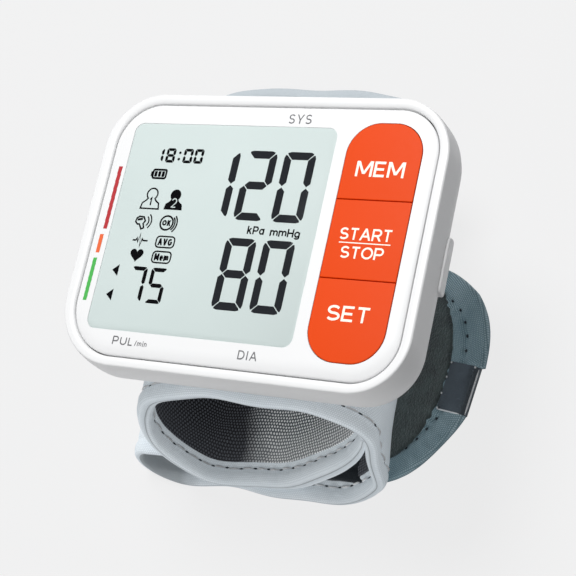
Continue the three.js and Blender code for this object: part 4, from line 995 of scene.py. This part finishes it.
# Words on the keys as left, right, low and high
KEY_WORDS = {
    "mem_key": [("MEM", 21.6, 32.5, 13.9, 17.3)],
    "start_stop_key": [("START", 21.1, 32.8, 0.2, 2.75), ("STOP", 22.1, 31.7, -3.75, -1.2)],
    "set_key": [("SET", 22.0, 31.6, -16.95, -13.7)],
}
KEY_DASH = [(21.3, -0.45), (32.8, -0.45)]
# Bars beside the display as their middle at the low and the high end, low and high
BARS = {
    "red": (bar_red, -36.45, -36.35, -0.9, 13.9),
    "orange": (bar_orange, -36.85, -36.8, -6.5, -2.2),
    "green": (bar_green, -37.05, -36.95, -17.5, -7.7),
}


def on_panel(x, y):
    inset = min(x - GAP[0], GAP[1] - x, y - GAP[2], GAP[3] - y) - PANEL_GAP
    return panel_drop(inset) + PANEL_PRINT_RAISE


def build_printed_words():
    words = Marks(on_panel)
    for text, place in FACE_WORDS.items():
        words.word(text, *place)
    words.piece("face_words", word_grey)
    for body, lines in KEY_WORDS.items():
        marks = Marks(KEY_PRINT_HEIGHT)
        for text, left, right, low, high in lines:
            marks.word(text, left, right, low, high, stem=0.16 * (high - low), gap=0.09)
        if body == "start_stop_key":
            marks.stroke(KEY_DASH, 0.22)
        marks.piece(body + "_word", word_white, body=body)
    for name, (material, *middles, low, high) in BARS.items():
        bar = Marks(on_panel)
        sides = [x + side * BAR_HALF_WIDTH for x in middles for side in (-1, 1)]
        for step in range(BAR_STEPS):
            y, top = (low + (high - low) * share / BAR_STEPS for share in (step, step + 1))
            bar.shape([(sides[0], y), (sides[1], y), (sides[3], top), (sides[2], top)])
        bar.piece(name + "_bar", material)


# Cuff: one strap spirals round the wrist, along a route in the XZ plane
ROUTE_STEPS = 40
END_ROUND_SHARE = 0.8
NOSE_POWER = 2.6
GROOVE_WIDTH = 0.6
CREASE_DEPTH, CREASE_WIDTH = 0.07, 2.6
SLACK_WAVE, SLACK_FADE = 0.36, 8


def bell(place, middle, spread):
    """A smooth swelling round a middle, 1 high."""
    return np.exp(-((place - middle) / spread) ** 2)


def through_places(places, steps):
    """A smooth curve through places, with a number of steps from each to the next."""
    padded = np.vstack([2 * places[0] - places[1], places, 2 * places[-1] - places[-2]])
    t = np.linspace(0, 1, steps, endpoint=False)[:, None]
    curve = []
    for i in range(1, len(padded) - 2):
        a, b, c, d = padded[i - 1:i + 3]
        curve.append(0.5 * (2 * b + (c - a) * t + (2 * a - 5 * b + 4 * c - d) * t ** 2
                            + (3 * b - a - 3 * c + d) * t ** 3))
    return np.vstack([*curve, padded[-2:-1]])


class Strap:
    """A padded strap along a route of places. Each place holds x, depth under the face and thickness."""

    def __init__(self, places, count, width, front, hem, stitch, roll, sags=()):
        dense = through_places(np.array(places, float), ROUTE_STEPS)
        steps = np.linalg.norm(np.diff(dense[:, :2], axis=0), axis=1)
        run = np.concatenate([[0], np.cumsum(steps)])
        self.length = np.linspace(0, run[-1], count)
        x, depth, thick = (np.interp(self.length, run, dense[:, i]) for i in range(3))
        self.centre = np.column_stack([x, -depth])
        self.thick = thick * self.end_rounding(thick[0] * END_ROUND_SHARE, thick[-1] * END_ROUND_SHARE)
        way = np.gradient(self.centre, axis=0)
        way /= np.linalg.norm(way, axis=1)[:, None]
        self.outward = np.column_stack([-way[:, 1], way[:, 0]])
        self.front = front(x, depth, self.length)
        self.width = width
        self.hem, self.stitch, self.roll, self.sags = hem, stitch, roll, sags

    def end_rounding(self, start_reach, end_reach):
        full = self.length[-1]
        start = np.clip(self.length / start_reach, 0, 1)
        end = np.clip((full - self.length) / end_reach, 0, 1)
        return np.sqrt(np.clip(1 - (1 - start) ** 2, 0.03, 1) * np.clip(1 - (1 - end) ** 2, 0.03, 1))

    def half(self, length, thick, across):
        """Half the thickness: a round edge, a full hem, a sewn groove and a softly creased middle."""
        edge = np.minimum(across, self.width - across)
        nose = np.clip(1 - (1 - np.minimum(edge / self.roll, 1)) ** NOSE_POWER, 0, 1) ** (1 / NOSE_POWER)
        swell = self.hem * bell(edge, self.stitch * 0.52, self.stitch * 0.36)
        pucker = 0.5 + 0.5 * np.cos(2 * math.pi * length / STITCH_PITCH)
        groove = bell(edge, self.stitch, GROOVE_WIDTH) * (0.4 + 0.4 * pucker)
        ripple = CREASE_DEPTH * np.sin(length * 1.7 + 2.2 * np.sin(length / 6.3))
        crease = ripple * bell(edge, self.stitch, CREASE_WIDTH)
        body = thick / 2 + np.minimum(thick / 4, 1) * swell
        return nose * (body - np.minimum(thick / 4, 1) * groove + crease * np.minimum(thick / 3, 1))

    def aside(self, length, across):
        """How far the middle of the cloth leaves its route: a slack front edge, sagging at some lengths."""
        wave = SLACK_WAVE * np.sin(length / 4.6 + 0.9 * np.sin(length / 9.7))
        away = wave * np.exp(-across / SLACK_FADE)
        for middle, spread, amount, place, fade in self.sags:
            away = away + amount * bell(length, middle, spread) * bell(across, place, fade)
        return away

    def points(self, length, across, side, lift=0.0):
        """Places on the outer side (side 1), the inner side (side -1), or between them."""
        length, across = np.broadcast_arrays(np.asarray(length, float), np.asarray(across, float))
        x, z, out_x, out_z, thick, front = (np.interp(length, self.length, values) for values in (
            *self.centre.T, *self.outward.T, self.thick, self.front))
        away = self.aside(length, across) + side * (self.half(length, thick, across) + lift)
        return np.column_stack([x + out_x * away, front + across, z + out_z * away])

    def across_steps(self):
        nose = self.roll * (1 - np.cos(np.linspace(0, math.pi / 2, 7)))
        hem = np.linspace(self.roll, self.stitch + 1.8, 15)
        near = np.concatenate([nose[:-1], hem])
        middle = np.linspace(near[-1], self.width - near[-1], 18)[1:-1]
        return np.concatenate([near, middle, self.width - near[::-1]])

    def piece(self, name, material):
        across = self.across_steps()
        back = across[::-1][1:-1]
        rings, cloth = [], []
        for length in self.length:
            rings.append(np.vstack([self.points(length, across, 1), self.points(length, back, -1)]))
            cloth.append(cloth_row(length, across, back + INNER_SIDE))
        return add_piece(name, *loft(rings), material, uv=np.vstack(cloth), sharp=80)


def cloth_row(length, there, back):
    """Cloth coordinates of one ring, which goes over the outer side and back under the inner side."""
    across = np.concatenate([there, back])
    return np.column_stack([np.full(len(across), length), across])


STITCH_PITCH = 3.7
CUFF_WIDTH = 74.5
CUFF_FRONT = -31
CUFF_HEM, CUFF_STITCH, CUFF_ROLL = 0.5, 3.9, 1.15
CUFF_SKEW = 0.4815
SKEW_START = 23.6
# The spiral, from its tucked inner end at the right: x, depth and thickness
SPIRAL = [
    (20.6, 31.6, 1.3), (18.6, 34.8, 1.9), (14.0, 40.0, 3.2), (7.0, 45.2, 4.6), (-2.5, 49.0, 5.2),
    (-13.2, 50.3, 5.2), (-23.8, 48.9, 4.6), (-30.6, 44.7, 3.8), (-34.5, 39.2, 3.2), (-35.6, 33.8, 3.0),
    (-34.5, 29.2, 3.2), (-30.6, 25.8, 3.8), (-20.6, 24.3, 4.0), (-10, 23.7, 4.0), (2, 23.8, 4.0),
    (10, 24.6, 4.0), (16.5, 26.6, 3.6), (20.2, 29.2, 3.1), (21.5, 32.6, 2.8), (21.1, 37.4, 2.7),
    (20.0, 42.0, 2.7), (18.2, 46.4, 2.7), (15.4, 50.2, 2.7), (11.2, 53.1, 2.7), (5.6, 54.8, 2.7),
    (-2, 55.5, 2.7), (-14, 55.6, 2.7), (-28, 55.65, 2.6), (-37.6, 55.5, 2.5), (-43.0, 54.6, 2.4),
    (-46.0, 52.2, 2.3), (-46.3, 49.2, 2.2), (-44.2, 47.0, 2.0), (-40.6, 46.9, 1.8), (-36, 48.8, 1.6),
    (-30, 51.2, 1.4), (-22, 52.8, 1.2), (-12, 53.3, 1.0),
]
# Where the cloth leaves its route: length and spread, amount, place across and spread
SAGS = [
    (121, 9, -1.6, 0, 16), (40, 14, 0.5, 0, 6), (88, 7, 1.6, 76, 26), (131, 5, 1.9, 74, 26),
    (108, 15, 0.55, 74, 26), (151, 3.2, 1.0, 4, 7), (143.5, 3, -0.6, 4, 7), (136, 3.2, 0.4, 3, 6),
    (96, 5, 0.35, 4, 9), (167, 5, 0.5, 3, 7), (70, 5, 0.5, 3, 7)]
# Where the strap's front edge swings to or from the reader: length, spread and how far away
SWINGS = [(58, 20, -3.5), (193, 9, 0.9), (210, 7, -0.5), (223, 7, 0.8), (80, 9, -0.7)]
HAIRPIN_START, HAIRPIN_SPAN, HAIRPIN_SHIFT = 228, 14, 4.4
LINING_MARGIN = 5.3
LINED_LENGTH = 176
LINING_START = 2.2
LINING_OUTER, LINING_INNER = 0.04, 0.32
BLADDER_LENGTHS = (27, 117)
BLADDER_ACROSS = (12, 62)
BLADDER_DEPTH_SHARE = 0.3
# Runs of stitches as a side, 1 outside and -1 inside, and the lengths where they start and end
STITCH_RUNS = [(-1, 4, 72), (-1, 148, 178), (1, 74, 98), (1, 112, 152)]
STITCH_REST, STITCH_LIFT, STITCH_RISE, STITCH_DRIFT = 0.45, 0.14, 0.16, 0.12
# Needle holes, each marked with a dark tube of painted shade
HOLE_HALF, HOLE_LIFT = 0.5, 0.02
THREAD_RADIUS = 0.27


def spiral_front(x, depth, length):
    drift = CUFF_FRONT - CUFF_SKEW * np.maximum(depth - SKEW_START, 0)
    for middle, spread, amount in SWINGS:
        drift = drift + amount * bell(length, middle, spread)
    drift = drift + HAIRPIN_SHIFT * np.clip((length - HAIRPIN_START) / HAIRPIN_SPAN, 0, 1) ** 1.5
    return drift + 0.24 * np.sin(length / 6.3) + 0.2 * np.sin(length / 3.1 + 1)


def build_cuff():
    strap = Strap(SPIRAL, 640, CUFF_WIDTH, spiral_front, CUFF_HEM, CUFF_STITCH, CUFF_ROLL, SAGS)
    cloth = strap.piece("cuff_spiral_strap", cuff_cloth)
    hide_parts("cuff_sleeve", "cuff_strap")
    build_bladder(strap)
    build_lining(strap)
    build_stitches(strap)


def build_bladder(strap):
    """The thin flat air bag, pressed empty between the two cloth layers."""
    across = np.linspace(*BLADDER_ACROSS, 20)
    rings = []
    for length in np.linspace(*BLADDER_LENGTHS, 90):
        outer, inner = strap.points(length, across, 1), strap.points(length, across, -1)
        down = (inner - outer) * BLADDER_DEPTH_SHARE
        rings.append(np.vstack([outer + down, (inner - down)[::-1]]))
    bladder = add_piece("flat_air_bladder", *loft(rings), dark_rubber, sharp=60)
    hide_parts("air_bladder")


def build_lining(strap):
    """The mesh lies on the inner side of the sleeve, inside its sewn hems."""
    lengths = np.linspace(LINING_START, LINED_LENGTH, 200)
    across = np.linspace(LINING_MARGIN, CUFF_WIDTH - LINING_MARGIN, 40)
    rings, cloth = [], []
    for length in lengths:
        upper = strap.points(length, across, -1, lift=LINING_INNER)
        lower = strap.points(length, across[::-1], -1, lift=LINING_OUTER)
        rings.append(np.vstack([upper, lower]))
        cloth.append(cloth_row(length, across, across[::-1]))
    lining = add_piece("cuff_mesh_lining", *loft(rings), mesh_cloth, uv=np.vstack(cloth), sharp=60)
    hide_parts("cuff_lining")


def tube_through(places, radius, sides=6):
    """A thin thread through places, with pointed ends."""
    places = np.asarray(places, float)
    way = np.gradient(places, axis=0)
    way /= np.maximum(np.linalg.norm(way, axis=1), 1e-9)[:, None]
    rings = []
    for i, (place, run) in enumerate(zip(places, way)):
        side = np.cross(run, (0.31, 0.17, 0.93))
        side /= np.linalg.norm(side)
        over = np.cross(run, side)
        size = radius * (0.35 if i in (0, len(places) - 1) else 1)
        angles = np.arange(sides) / sides * 2 * math.pi
        rings.append(place + size * (np.outer(np.cos(angles), side) + np.outer(np.sin(angles), over)))
    return loft(rings)


def join_forms(forms):
    """Several forms as the points and faces of one."""
    points, faces, total = [], [], 0
    for form_points, form_faces in forms:
        points.append(form_points)
        faces += [tuple(total + i for i in face) for face in form_faces]
        total += len(form_points)
    return np.vstack(points), faces


def build_stitches(strap):
    """Long stitches on both sides of both hems, in the sewn groove, with dark tubes of painted shade in the
    needle dimples.
    """
    threads, holes = [], []
    share = np.linspace(0, 1, 5)
    for across in (strap.stitch, strap.width - strap.stitch):
        for side, start, end in STITCH_RUNS:
            for k in range(int((end - start) / STITCH_PITCH)):
                begin = (math.ceil(start / STITCH_PITCH) + k) * STITCH_PITCH
                lengths = begin + STITCH_REST + share * (STITCH_PITCH - 2 * STITCH_REST)
                lift = STITCH_LIFT + STITCH_RISE * np.sin(share * math.pi)
                drift = across + STITCH_DRIFT * math.sin(k * 2.4)
                threads.append(tube_through(strap.points(lengths, drift, side, lift=lift), THREAD_RADIUS))
                # Painted shade: a dark tube sunk at each needle hole stands in for the shade in its dimple
                hole = begin + np.array([-HOLE_HALF, 0, HOLE_HALF])
                dimple = strap.points(hole, drift, side, lift=HOLE_LIFT)
                holes.append(tube_through(dimple, THREAD_RADIUS))
    thread = add_piece("cuff_stitches", *join_forms(threads), pale_thread, sharp=80)
    dimple_shades = add_piece("cuff_stitch_dimple_shades", *join_forms(holes), dark_thread_and_dimple_shade, sharp=80)


# The free strap end is half round and lies in a plane that rises to the right. Its centre is given
# as x and y, and a place in the plane as x and z.
TAIL_RISE = 0.28
TAIL_CENTRE = (11.9, -12.2)
TAIL_PLANE = (14, -52)
TAIL_ANGLE = math.atan(TAIL_RISE)
TAIL_RADIUS = 28.6
TAIL_THICK = 1.5
TAIL_BULGE, TAIL_CUT_BACK = 0.8, 3.2
CLIP_TURN = math.radians(-8.6)
CLIP_NEAR, CLIP_FAR, CLIP_HALF = 20.0, 27.5, 5.6
CLIP_OUTER, CLIP_SHEET, CLIP_FLATTENED = 1.32, 0.45, 0.35
CLIP_ASIDE = -1.8
CLIP_EDGE_RADIUS, CRIMP_RADIUS = 0.2, 0.24
# Slices across the clip, as pairs of a place across and how much the sheet is eased there
CLIP_SLICES = [
    (-CLIP_HALF, 0.14), (-CLIP_HALF + 0.05, 0.05), (-CLIP_HALF + 0.16, 0), (-2, 0), (2, 0),
    (CLIP_HALF - 0.16, 0), (CLIP_HALF - 0.05, 0.05), (CLIP_HALF, 0.14)]
# Crimped spots of the clip, as pairs of a place along and a place across
CRIMPS = [
    (CLIP_NEAR + 0.2, CLIP_HALF - 0.3), (CLIP_NEAR + 0.15, 1.9), (CLIP_NEAR + 0.15, -1.9),
    (CLIP_NEAR + 0.2, -CLIP_HALF + 0.3), (CLIP_FAR - 0.5, CLIP_HALF - 0.3)]
FLEECE_TIP, FLEECE_SIDE = 19.8, 24.4
# The fleece's rounded edge, as pairs of an inset and the height of the pile
FLEECE_EDGE = np.array([(0, 0.1), (0.12, 0.36), (0.3, 0.5), (0.6, 0.58), (1.0, 0.62)])
FLEECE_INNER_PLACES = 14
TAIL_ROOT = 4.6
# What the underside has added to its cloth coordinate across
TAIL_UNDERSIDE = 100
TAIL_SPREAD, FLEECE_SPREAD = math.radians(84), math.radians(80)
BEND_START, BEND_END = 6.6, 9.4
HEM_WIDTH = 5.6
HEM_SWELL, HEM_RIB, RIB_PITCH = 0.38, 0.13, 0.62
TAIL_STITCH = 4.2


def on_tail(u, v, height):
    """Places on the strap end: u runs from its round centre to its tip, v away from the reader."""
    u, v, height = np.broadcast_arrays(np.asarray(u, float), np.asarray(v, float), np.asarray(height, float))
    x = TAIL_CENTRE[0] + u * math.cos(TAIL_ANGLE) - height * math.sin(TAIL_ANGLE)
    flat = TAIL_PLANE[1] + TAIL_RISE * (TAIL_CENTRE[0] - TAIL_PLANE[0])
    z = flat + u * math.sin(TAIL_ANGLE) + height * math.cos(TAIL_ANGLE)
    return np.column_stack([x, TAIL_CENTRE[1] + v, z])


def on_tail_turned(angle, reach, height):
    """Places on the strap end at an angle round its centre, from its axis."""
    return on_tail(reach * np.cos(angle), reach * np.sin(angle), height)


def tail_reach(angle):
    """The outline of the strap end, pressed in where the clip holds it."""
    turn = np.degrees(angle)
    reach = TAIL_RADIUS + TAIL_BULGE * (bell(turn, 20, 16) - bell(turn, -42, 16))
    reach = reach - TAIL_CUT_BACK * np.clip((turn - 36) / 36, 0, 1)
    from_axis = angle - CLIP_TURN
    across = TAIL_RADIUS * np.sin(from_axis) - CLIP_ASIDE
    pressed = (CLIP_FAR - 0.55) / np.maximum(np.cos(from_axis), 0.5)
    held = np.clip((abs(across) - CLIP_HALF) / 0.7, 0, 1)
    return np.minimum(reach, pressed + held * 8)


def fleece_reach(angle):
    """The outline of the fleece: half an oval with a frayed edge."""
    reach = 1 / np.sqrt((np.cos(angle) / FLEECE_TIP) ** 2 + (np.sin(angle) / FLEECE_SIDE) ** 2)
    frayed = 0.07 * np.sin(angle * 31 + 2 * np.sin(angle * 7)) + 0.04 * np.sin(angle * 67 + 1.3)
    return reach + frayed


def tail_height(angle, reach, outline):
    """The upper side: a ribbed hem, a puckered seam and a plain middle."""
    inwards = outline - reach
    edge = np.sqrt(np.clip(1 - (1 - np.minimum(inwards / 0.7, 1)) ** 2, 0, 1))
    ribs = 0.5 + 0.5 * np.cos(angle * outline / RIB_PITCH)
    hem = np.exp(-((inwards - 2.4) / 2.6) ** 4)
    pucker = 0.5 + 0.5 * np.cos(angle * TAIL_RADIUS / TAIL_STITCH * 2 * math.pi)
    seam = bell(inwards, HEM_WIDTH, 0.55)
    folds = (0.25 + 0.26 * np.sin(angle * 37 + 3 * np.sin(angle * 9))) * bell(inwards, HEM_WIDTH + 1.3, 1.1)
    top = TAIL_THICK / 2 + HEM_SWELL * hem + HEM_RIB * ribs * hem
    return edge * (top - seam * (0.3 + 0.4 * pucker) + folds)


def build_tail():
    angles = np.linspace(-TAIL_SPREAD, TAIL_SPREAD, 420)
    outline = tail_reach(angles)
    insets = np.concatenate([[0, 0.1, 0.25, 0.45, 0.7], np.linspace(1, 10, 46)])
    rings, cloth = [], []
    for angle, reach in zip(angles, outline):
        inner = min(TAIL_ROOT / math.cos(angle), reach - 10.5)
        places = np.append(reach - insets, inner)
        tops = tail_height(angle, places, reach)
        tops[-1] = TAIL_THICK / 2
        back = places[::-1][:-1]
        below = -np.minimum(tops, TAIL_THICK / 2)[::-1][:-1]
        rings.append(np.vstack([on_tail_turned(angle, places, tops), on_tail_turned(angle, back, below)]))
        cloth.append(cloth_row(angle * TAIL_RADIUS, places, back + TAIL_UNDERSIDE))
    hem = add_piece("strap_end_cloth", *loft(rings), hem_tape, body=None, uv=np.vstack(cloth), sharp=80)
    bend_at_root(hem)
    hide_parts("strap_tail")
    build_fleece()
    build_tail_seam()
    build_clip()


def bend_at_root(piece):
    """Bakes the piece's placement into its mesh. The places where the strap end would flex at its root
    against the housing's part are found, but the piece is not bent.
    """
    start, end = (tuple(in_frame(on_tail(u, 0, 0))[0]) for u in (BEND_START, BEND_END))
    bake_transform(piece)


def build_fleece():
    insets, heights = FLEECE_EDGE.T
    heights = TAIL_THICK / 2 + np.append(heights, [heights[-1]] * FLEECE_INNER_PLACES)
    rings, cloth = [], []
    for angle in np.linspace(-FLEECE_SPREAD, FLEECE_SPREAD, 300):
        reach = fleece_reach(angle)
        inner = min(TAIL_ROOT / math.cos(angle), reach - 3)
        places = np.append(reach - insets, np.linspace(reach - 1.5, inner, FLEECE_INNER_PLACES))
        back = places[::-1]
        upper = on_tail_turned(angle, places, heights)
        rings.append(np.vstack([upper, on_tail_turned(angle, back, TAIL_THICK / 2 + 0.02)]))
        cloth.append(cloth_row(angle * 20, places, back))
    patch = add_piece("strap_end_fleece", *loft(rings), fleece, body=None, uv=np.vstack(cloth), sharp=70)
    bend_at_root(patch)
    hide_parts("tail_fleece")


def build_tail_seam():
    """Dark stitches sunk into the puckers of the seam between hem and fleece."""
    holes = []
    for k in range(-9, 10):
        angle = k * TAIL_STITCH / TAIL_RADIUS
        across = TAIL_RADIUS * math.sin(angle - CLIP_TURN) - CLIP_ASIDE
        if abs(across) < CLIP_HALF + 0.6:
            continue
        turn = angle + np.linspace(-0.45, 0.45, 4) / TAIL_RADIUS
        height = TAIL_THICK / 2 - 0.36 + 0.12 * np.sin(np.linspace(0, math.pi, 4))
        place = on_tail_turned(turn, tail_reach(turn) - HEM_WIDTH, height)
        holes.append(tube_through(place, THREAD_RADIUS))
    seam = add_piece("strap_end_stitches", *join_forms(holes), dark_thread_and_dimple_shade, body="strap_end", sharp=80)


def on_clip(along, across, height):
    """Places on the clip, measured from the round centre of the strap end."""
    turn_cos, turn_sin = math.cos(CLIP_TURN), math.sin(CLIP_TURN)
    along, across = np.asarray(along, float), np.asarray(across, float) + CLIP_ASIDE
    return on_tail(along * turn_cos - across * turn_sin, along * turn_sin + across * turn_cos, height)


def clip_bend(radius, start, end, steps):
    """The round of the folded sheet beyond the strap's edge, in the plane of the clip's section."""
    middle = CLIP_FAR - CLIP_OUTER + CLIP_FLATTENED
    angles = np.linspace(start, end, steps) * math.pi / 2
    return [(middle + (radius - CLIP_FLATTENED) * math.cos(a), radius * math.sin(a)) for a in angles]


def build_clip():
    """A folded sheet: two leaves round the strap's edge, open towards the fleece."""
    inner = CLIP_OUTER - CLIP_SHEET
    profile = np.array([
        (CLIP_NEAR, CLIP_OUTER - 0.08), (CLIP_NEAR + 0.12, CLIP_OUTER), *clip_bend(CLIP_OUTER, 1, -1, 9),
        (CLIP_NEAR + 0.12, -CLIP_OUTER), (CLIP_NEAR, -CLIP_OUTER + 0.08), (CLIP_NEAR, -inner),
        *clip_bend(inner, -1, 1, 7), (CLIP_NEAR, inner)])
    middle = np.array([(CLIP_NEAR + CLIP_FAR) / 2, 0])
    rings = []
    for across, shrink in CLIP_SLICES:
        along, height = (profile + (middle - profile) * (shrink / 5)).T
        rings.append(on_clip(along, across, height))
    clip = add_piece("strap_end_clip", *loft(rings), clip_finish, body="strap_end", sharp=40)
    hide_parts("end_clip")
    top = CLIP_OUTER + 0.02
    near_edge = on_clip(np.linspace(CLIP_NEAR + 0.2, CLIP_FAR - 0.9, 8), -CLIP_HALF + 0.02, top - 0.05)
    far_edge = on_clip(CLIP_FAR + 0.02, np.linspace(-CLIP_HALF + 0.3, CLIP_HALF - 0.6, 8), 0.5)
    # Painted highlight: pale tubes along the near edge and the folded far edge stand in for light caught on
    # the sheet's edges
    highlight_lines = [tube_through(edge, CLIP_EDGE_RADIUS) for edge in (near_edge, far_edge)]
    clip_edges = add_piece("clip_edge_highlights", *join_forms(highlight_lines), edge_highlight_and_crimp_metal, body="strap_end", sharp=80)
    dots = []
    for along, across in CRIMPS:
        place = on_clip(along + np.array([-0.22, -0.1, 0.1, 0.22]), across, top)
        dots.append(tube_through(place, CRIMP_RADIUS, sides=8))
    crimps = add_piece("clip_crimp_dots", *join_forms(dots), edge_highlight_and_crimp_metal, body="strap_end", sharp=80)


# The threaded strap between the layers: x, depth and thickness
THREADED_ROUTE = [
    (-33.5, 51.4, 1.4), (-24, 52.9, 1.4), (-12, 53.25, 1.4), (-2, 53.0, 1.4), (6, 52.4, 1.5),
    (12, 51.9, 1.5), (16.5, 51.3, 1.5),
]

THREADED_HEM, THREADED_STITCH, THREADED_ROLL = 0.2, 3.4, 0.9


def threaded_front(x, depth, length):
    return np.full(len(x), TAIL_CENTRE[1] - TAIL_RADIUS)


def build_threaded_strap():
    strap = Strap(
        THREADED_ROUTE, 120, 2 * TAIL_RADIUS, threaded_front, THREADED_HEM, THREADED_STITCH, THREADED_ROLL)
    # Its cloth is darkened as painted shade, for the shade between the layers
    threaded = strap.piece("threaded_strap_cloth", shaded_cloth)
    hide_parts("threaded_strap")


# Camera, lamps and floor. The camera's places are in millimetres and its directions are units.
CAMERA_PLACE = (159.25, -86.60, 261.48)
CAMERA_RIGHT = (0.87654, 0.21184, -0.43222)
CAMERA_DOWN = (0.07330, -0.94627, -0.31496)
CAMERA_AHEAD = (-0.47570, 0.24436, -0.84497)
SENSOR_WIDTH = 36
FOCAL_PIXELS, PHOTO_PIXELS = 1519.8, 576
SKY_COLOUR, SKY_STRENGTH = (0.97, 0.985, 1.0, 1), 0.225
# Lamps as place, target, size and power
LAMPS = {
    "back_lamp": ((-0.1, 0.44, 0.95), (0, 0, 0.03), 0.42, 11.4),
    "front_fill_lamp": ((-0.42, -1.02, 0.2), (0, 0, 0.02), 0.5, 3.8),
}
PAPER_COLOUR = (0.56, 0.56, 0.565)
# What the camera sees of the floor is mostly an even glow, as on overexposed white paper
PAPER_GLOW, PAPER_GLOW_SHARE = (0.91, 0.91, 0.912), 0.88
FLOOR_HALF, FLOOR_DEPTH = 6, 0.0002


def place_camera():
    data = bpy.data.cameras.new("photo_camera")
    data.sensor_width = SENSOR_WIDTH
    data.lens = FOCAL_PIXELS / PHOTO_PIXELS * SENSOR_WIDTH
    data.clip_start = 0.01
    camera = bpy.data.objects.new("photo_camera", data)
    axes = Matrix((CAMERA_RIGHT, [-c for c in CAMERA_DOWN], [-c for c in CAMERA_AHEAD])).transposed()
    camera.matrix_world = Matrix.Translation(Vector(in_frame(CAMERA_PLACE))) @ axes.to_4x4()
    scene.collection.objects.link(camera)
    scene.camera = camera


def add_lamp(name, place, target, size, power):
    data = bpy.data.lights.new(name, "AREA")
    data.shape = "DISK"
    data.size = size
    data.energy = power
    lamp = bpy.data.objects.new(name, data)
    lamp.location = place
    lamp.rotation_euler = (Vector(target) - Vector(place)).to_track_quat("-Z", "Y").to_euler()
    scene.collection.objects.link(lamp)


def build_studio():
    world = bpy.data.worlds.new("studio")
    scene.world = world
    world.use_nodes = True
    sky = world.node_tree.nodes["Background"]
    sky.inputs[0].default_value = SKY_COLOUR
    sky.inputs[1].default_value = SKY_STRENGTH
    for name, settings in LAMPS.items():
        add_lamp(name, *settings)
    floor_look = Finish("pale_floor")
    seen = floor_look.node("ShaderNodeLightPath")
    paper = floor_look.node("ShaderNodeBsdfDiffuse", values={"Color": PAPER_COLOUR})
    glow = floor_look.node("ShaderNodeEmission", values={"Color": PAPER_GLOW, "Strength": 1.0})
    shader = floor_look.node("ShaderNodeMixShader", values={0: seen * PAPER_GLOW_SHARE, 1: paper, 2: glow})
    floor_look.output(shader)
    corners = [(x * FLOOR_HALF, y * FLOOR_HALF, 0) for x, y in ((-1, -1), (1, -1), (1, 1), (-1, 1))]
    mesh = bpy.data.meshes.new("floor")
    mesh.from_pydata(corners, [], [(0, 1, 2, 3)])
    mesh.materials.append(floor_look.material)
    floor = bpy.data.objects.new("floor", mesh)
    floor.location = (0, 0, -FLOOR_DEPTH)
    scene.collection.objects.link(floor)
    scene.view_settings.view_transform = "Standard"


place_camera()
build_studio()
build_housing()
build_battery_door()
build_face_panel()
build_keys()
build_display()
build_printed_words()
build_cuff()
build_threaded_strap()
build_tail()
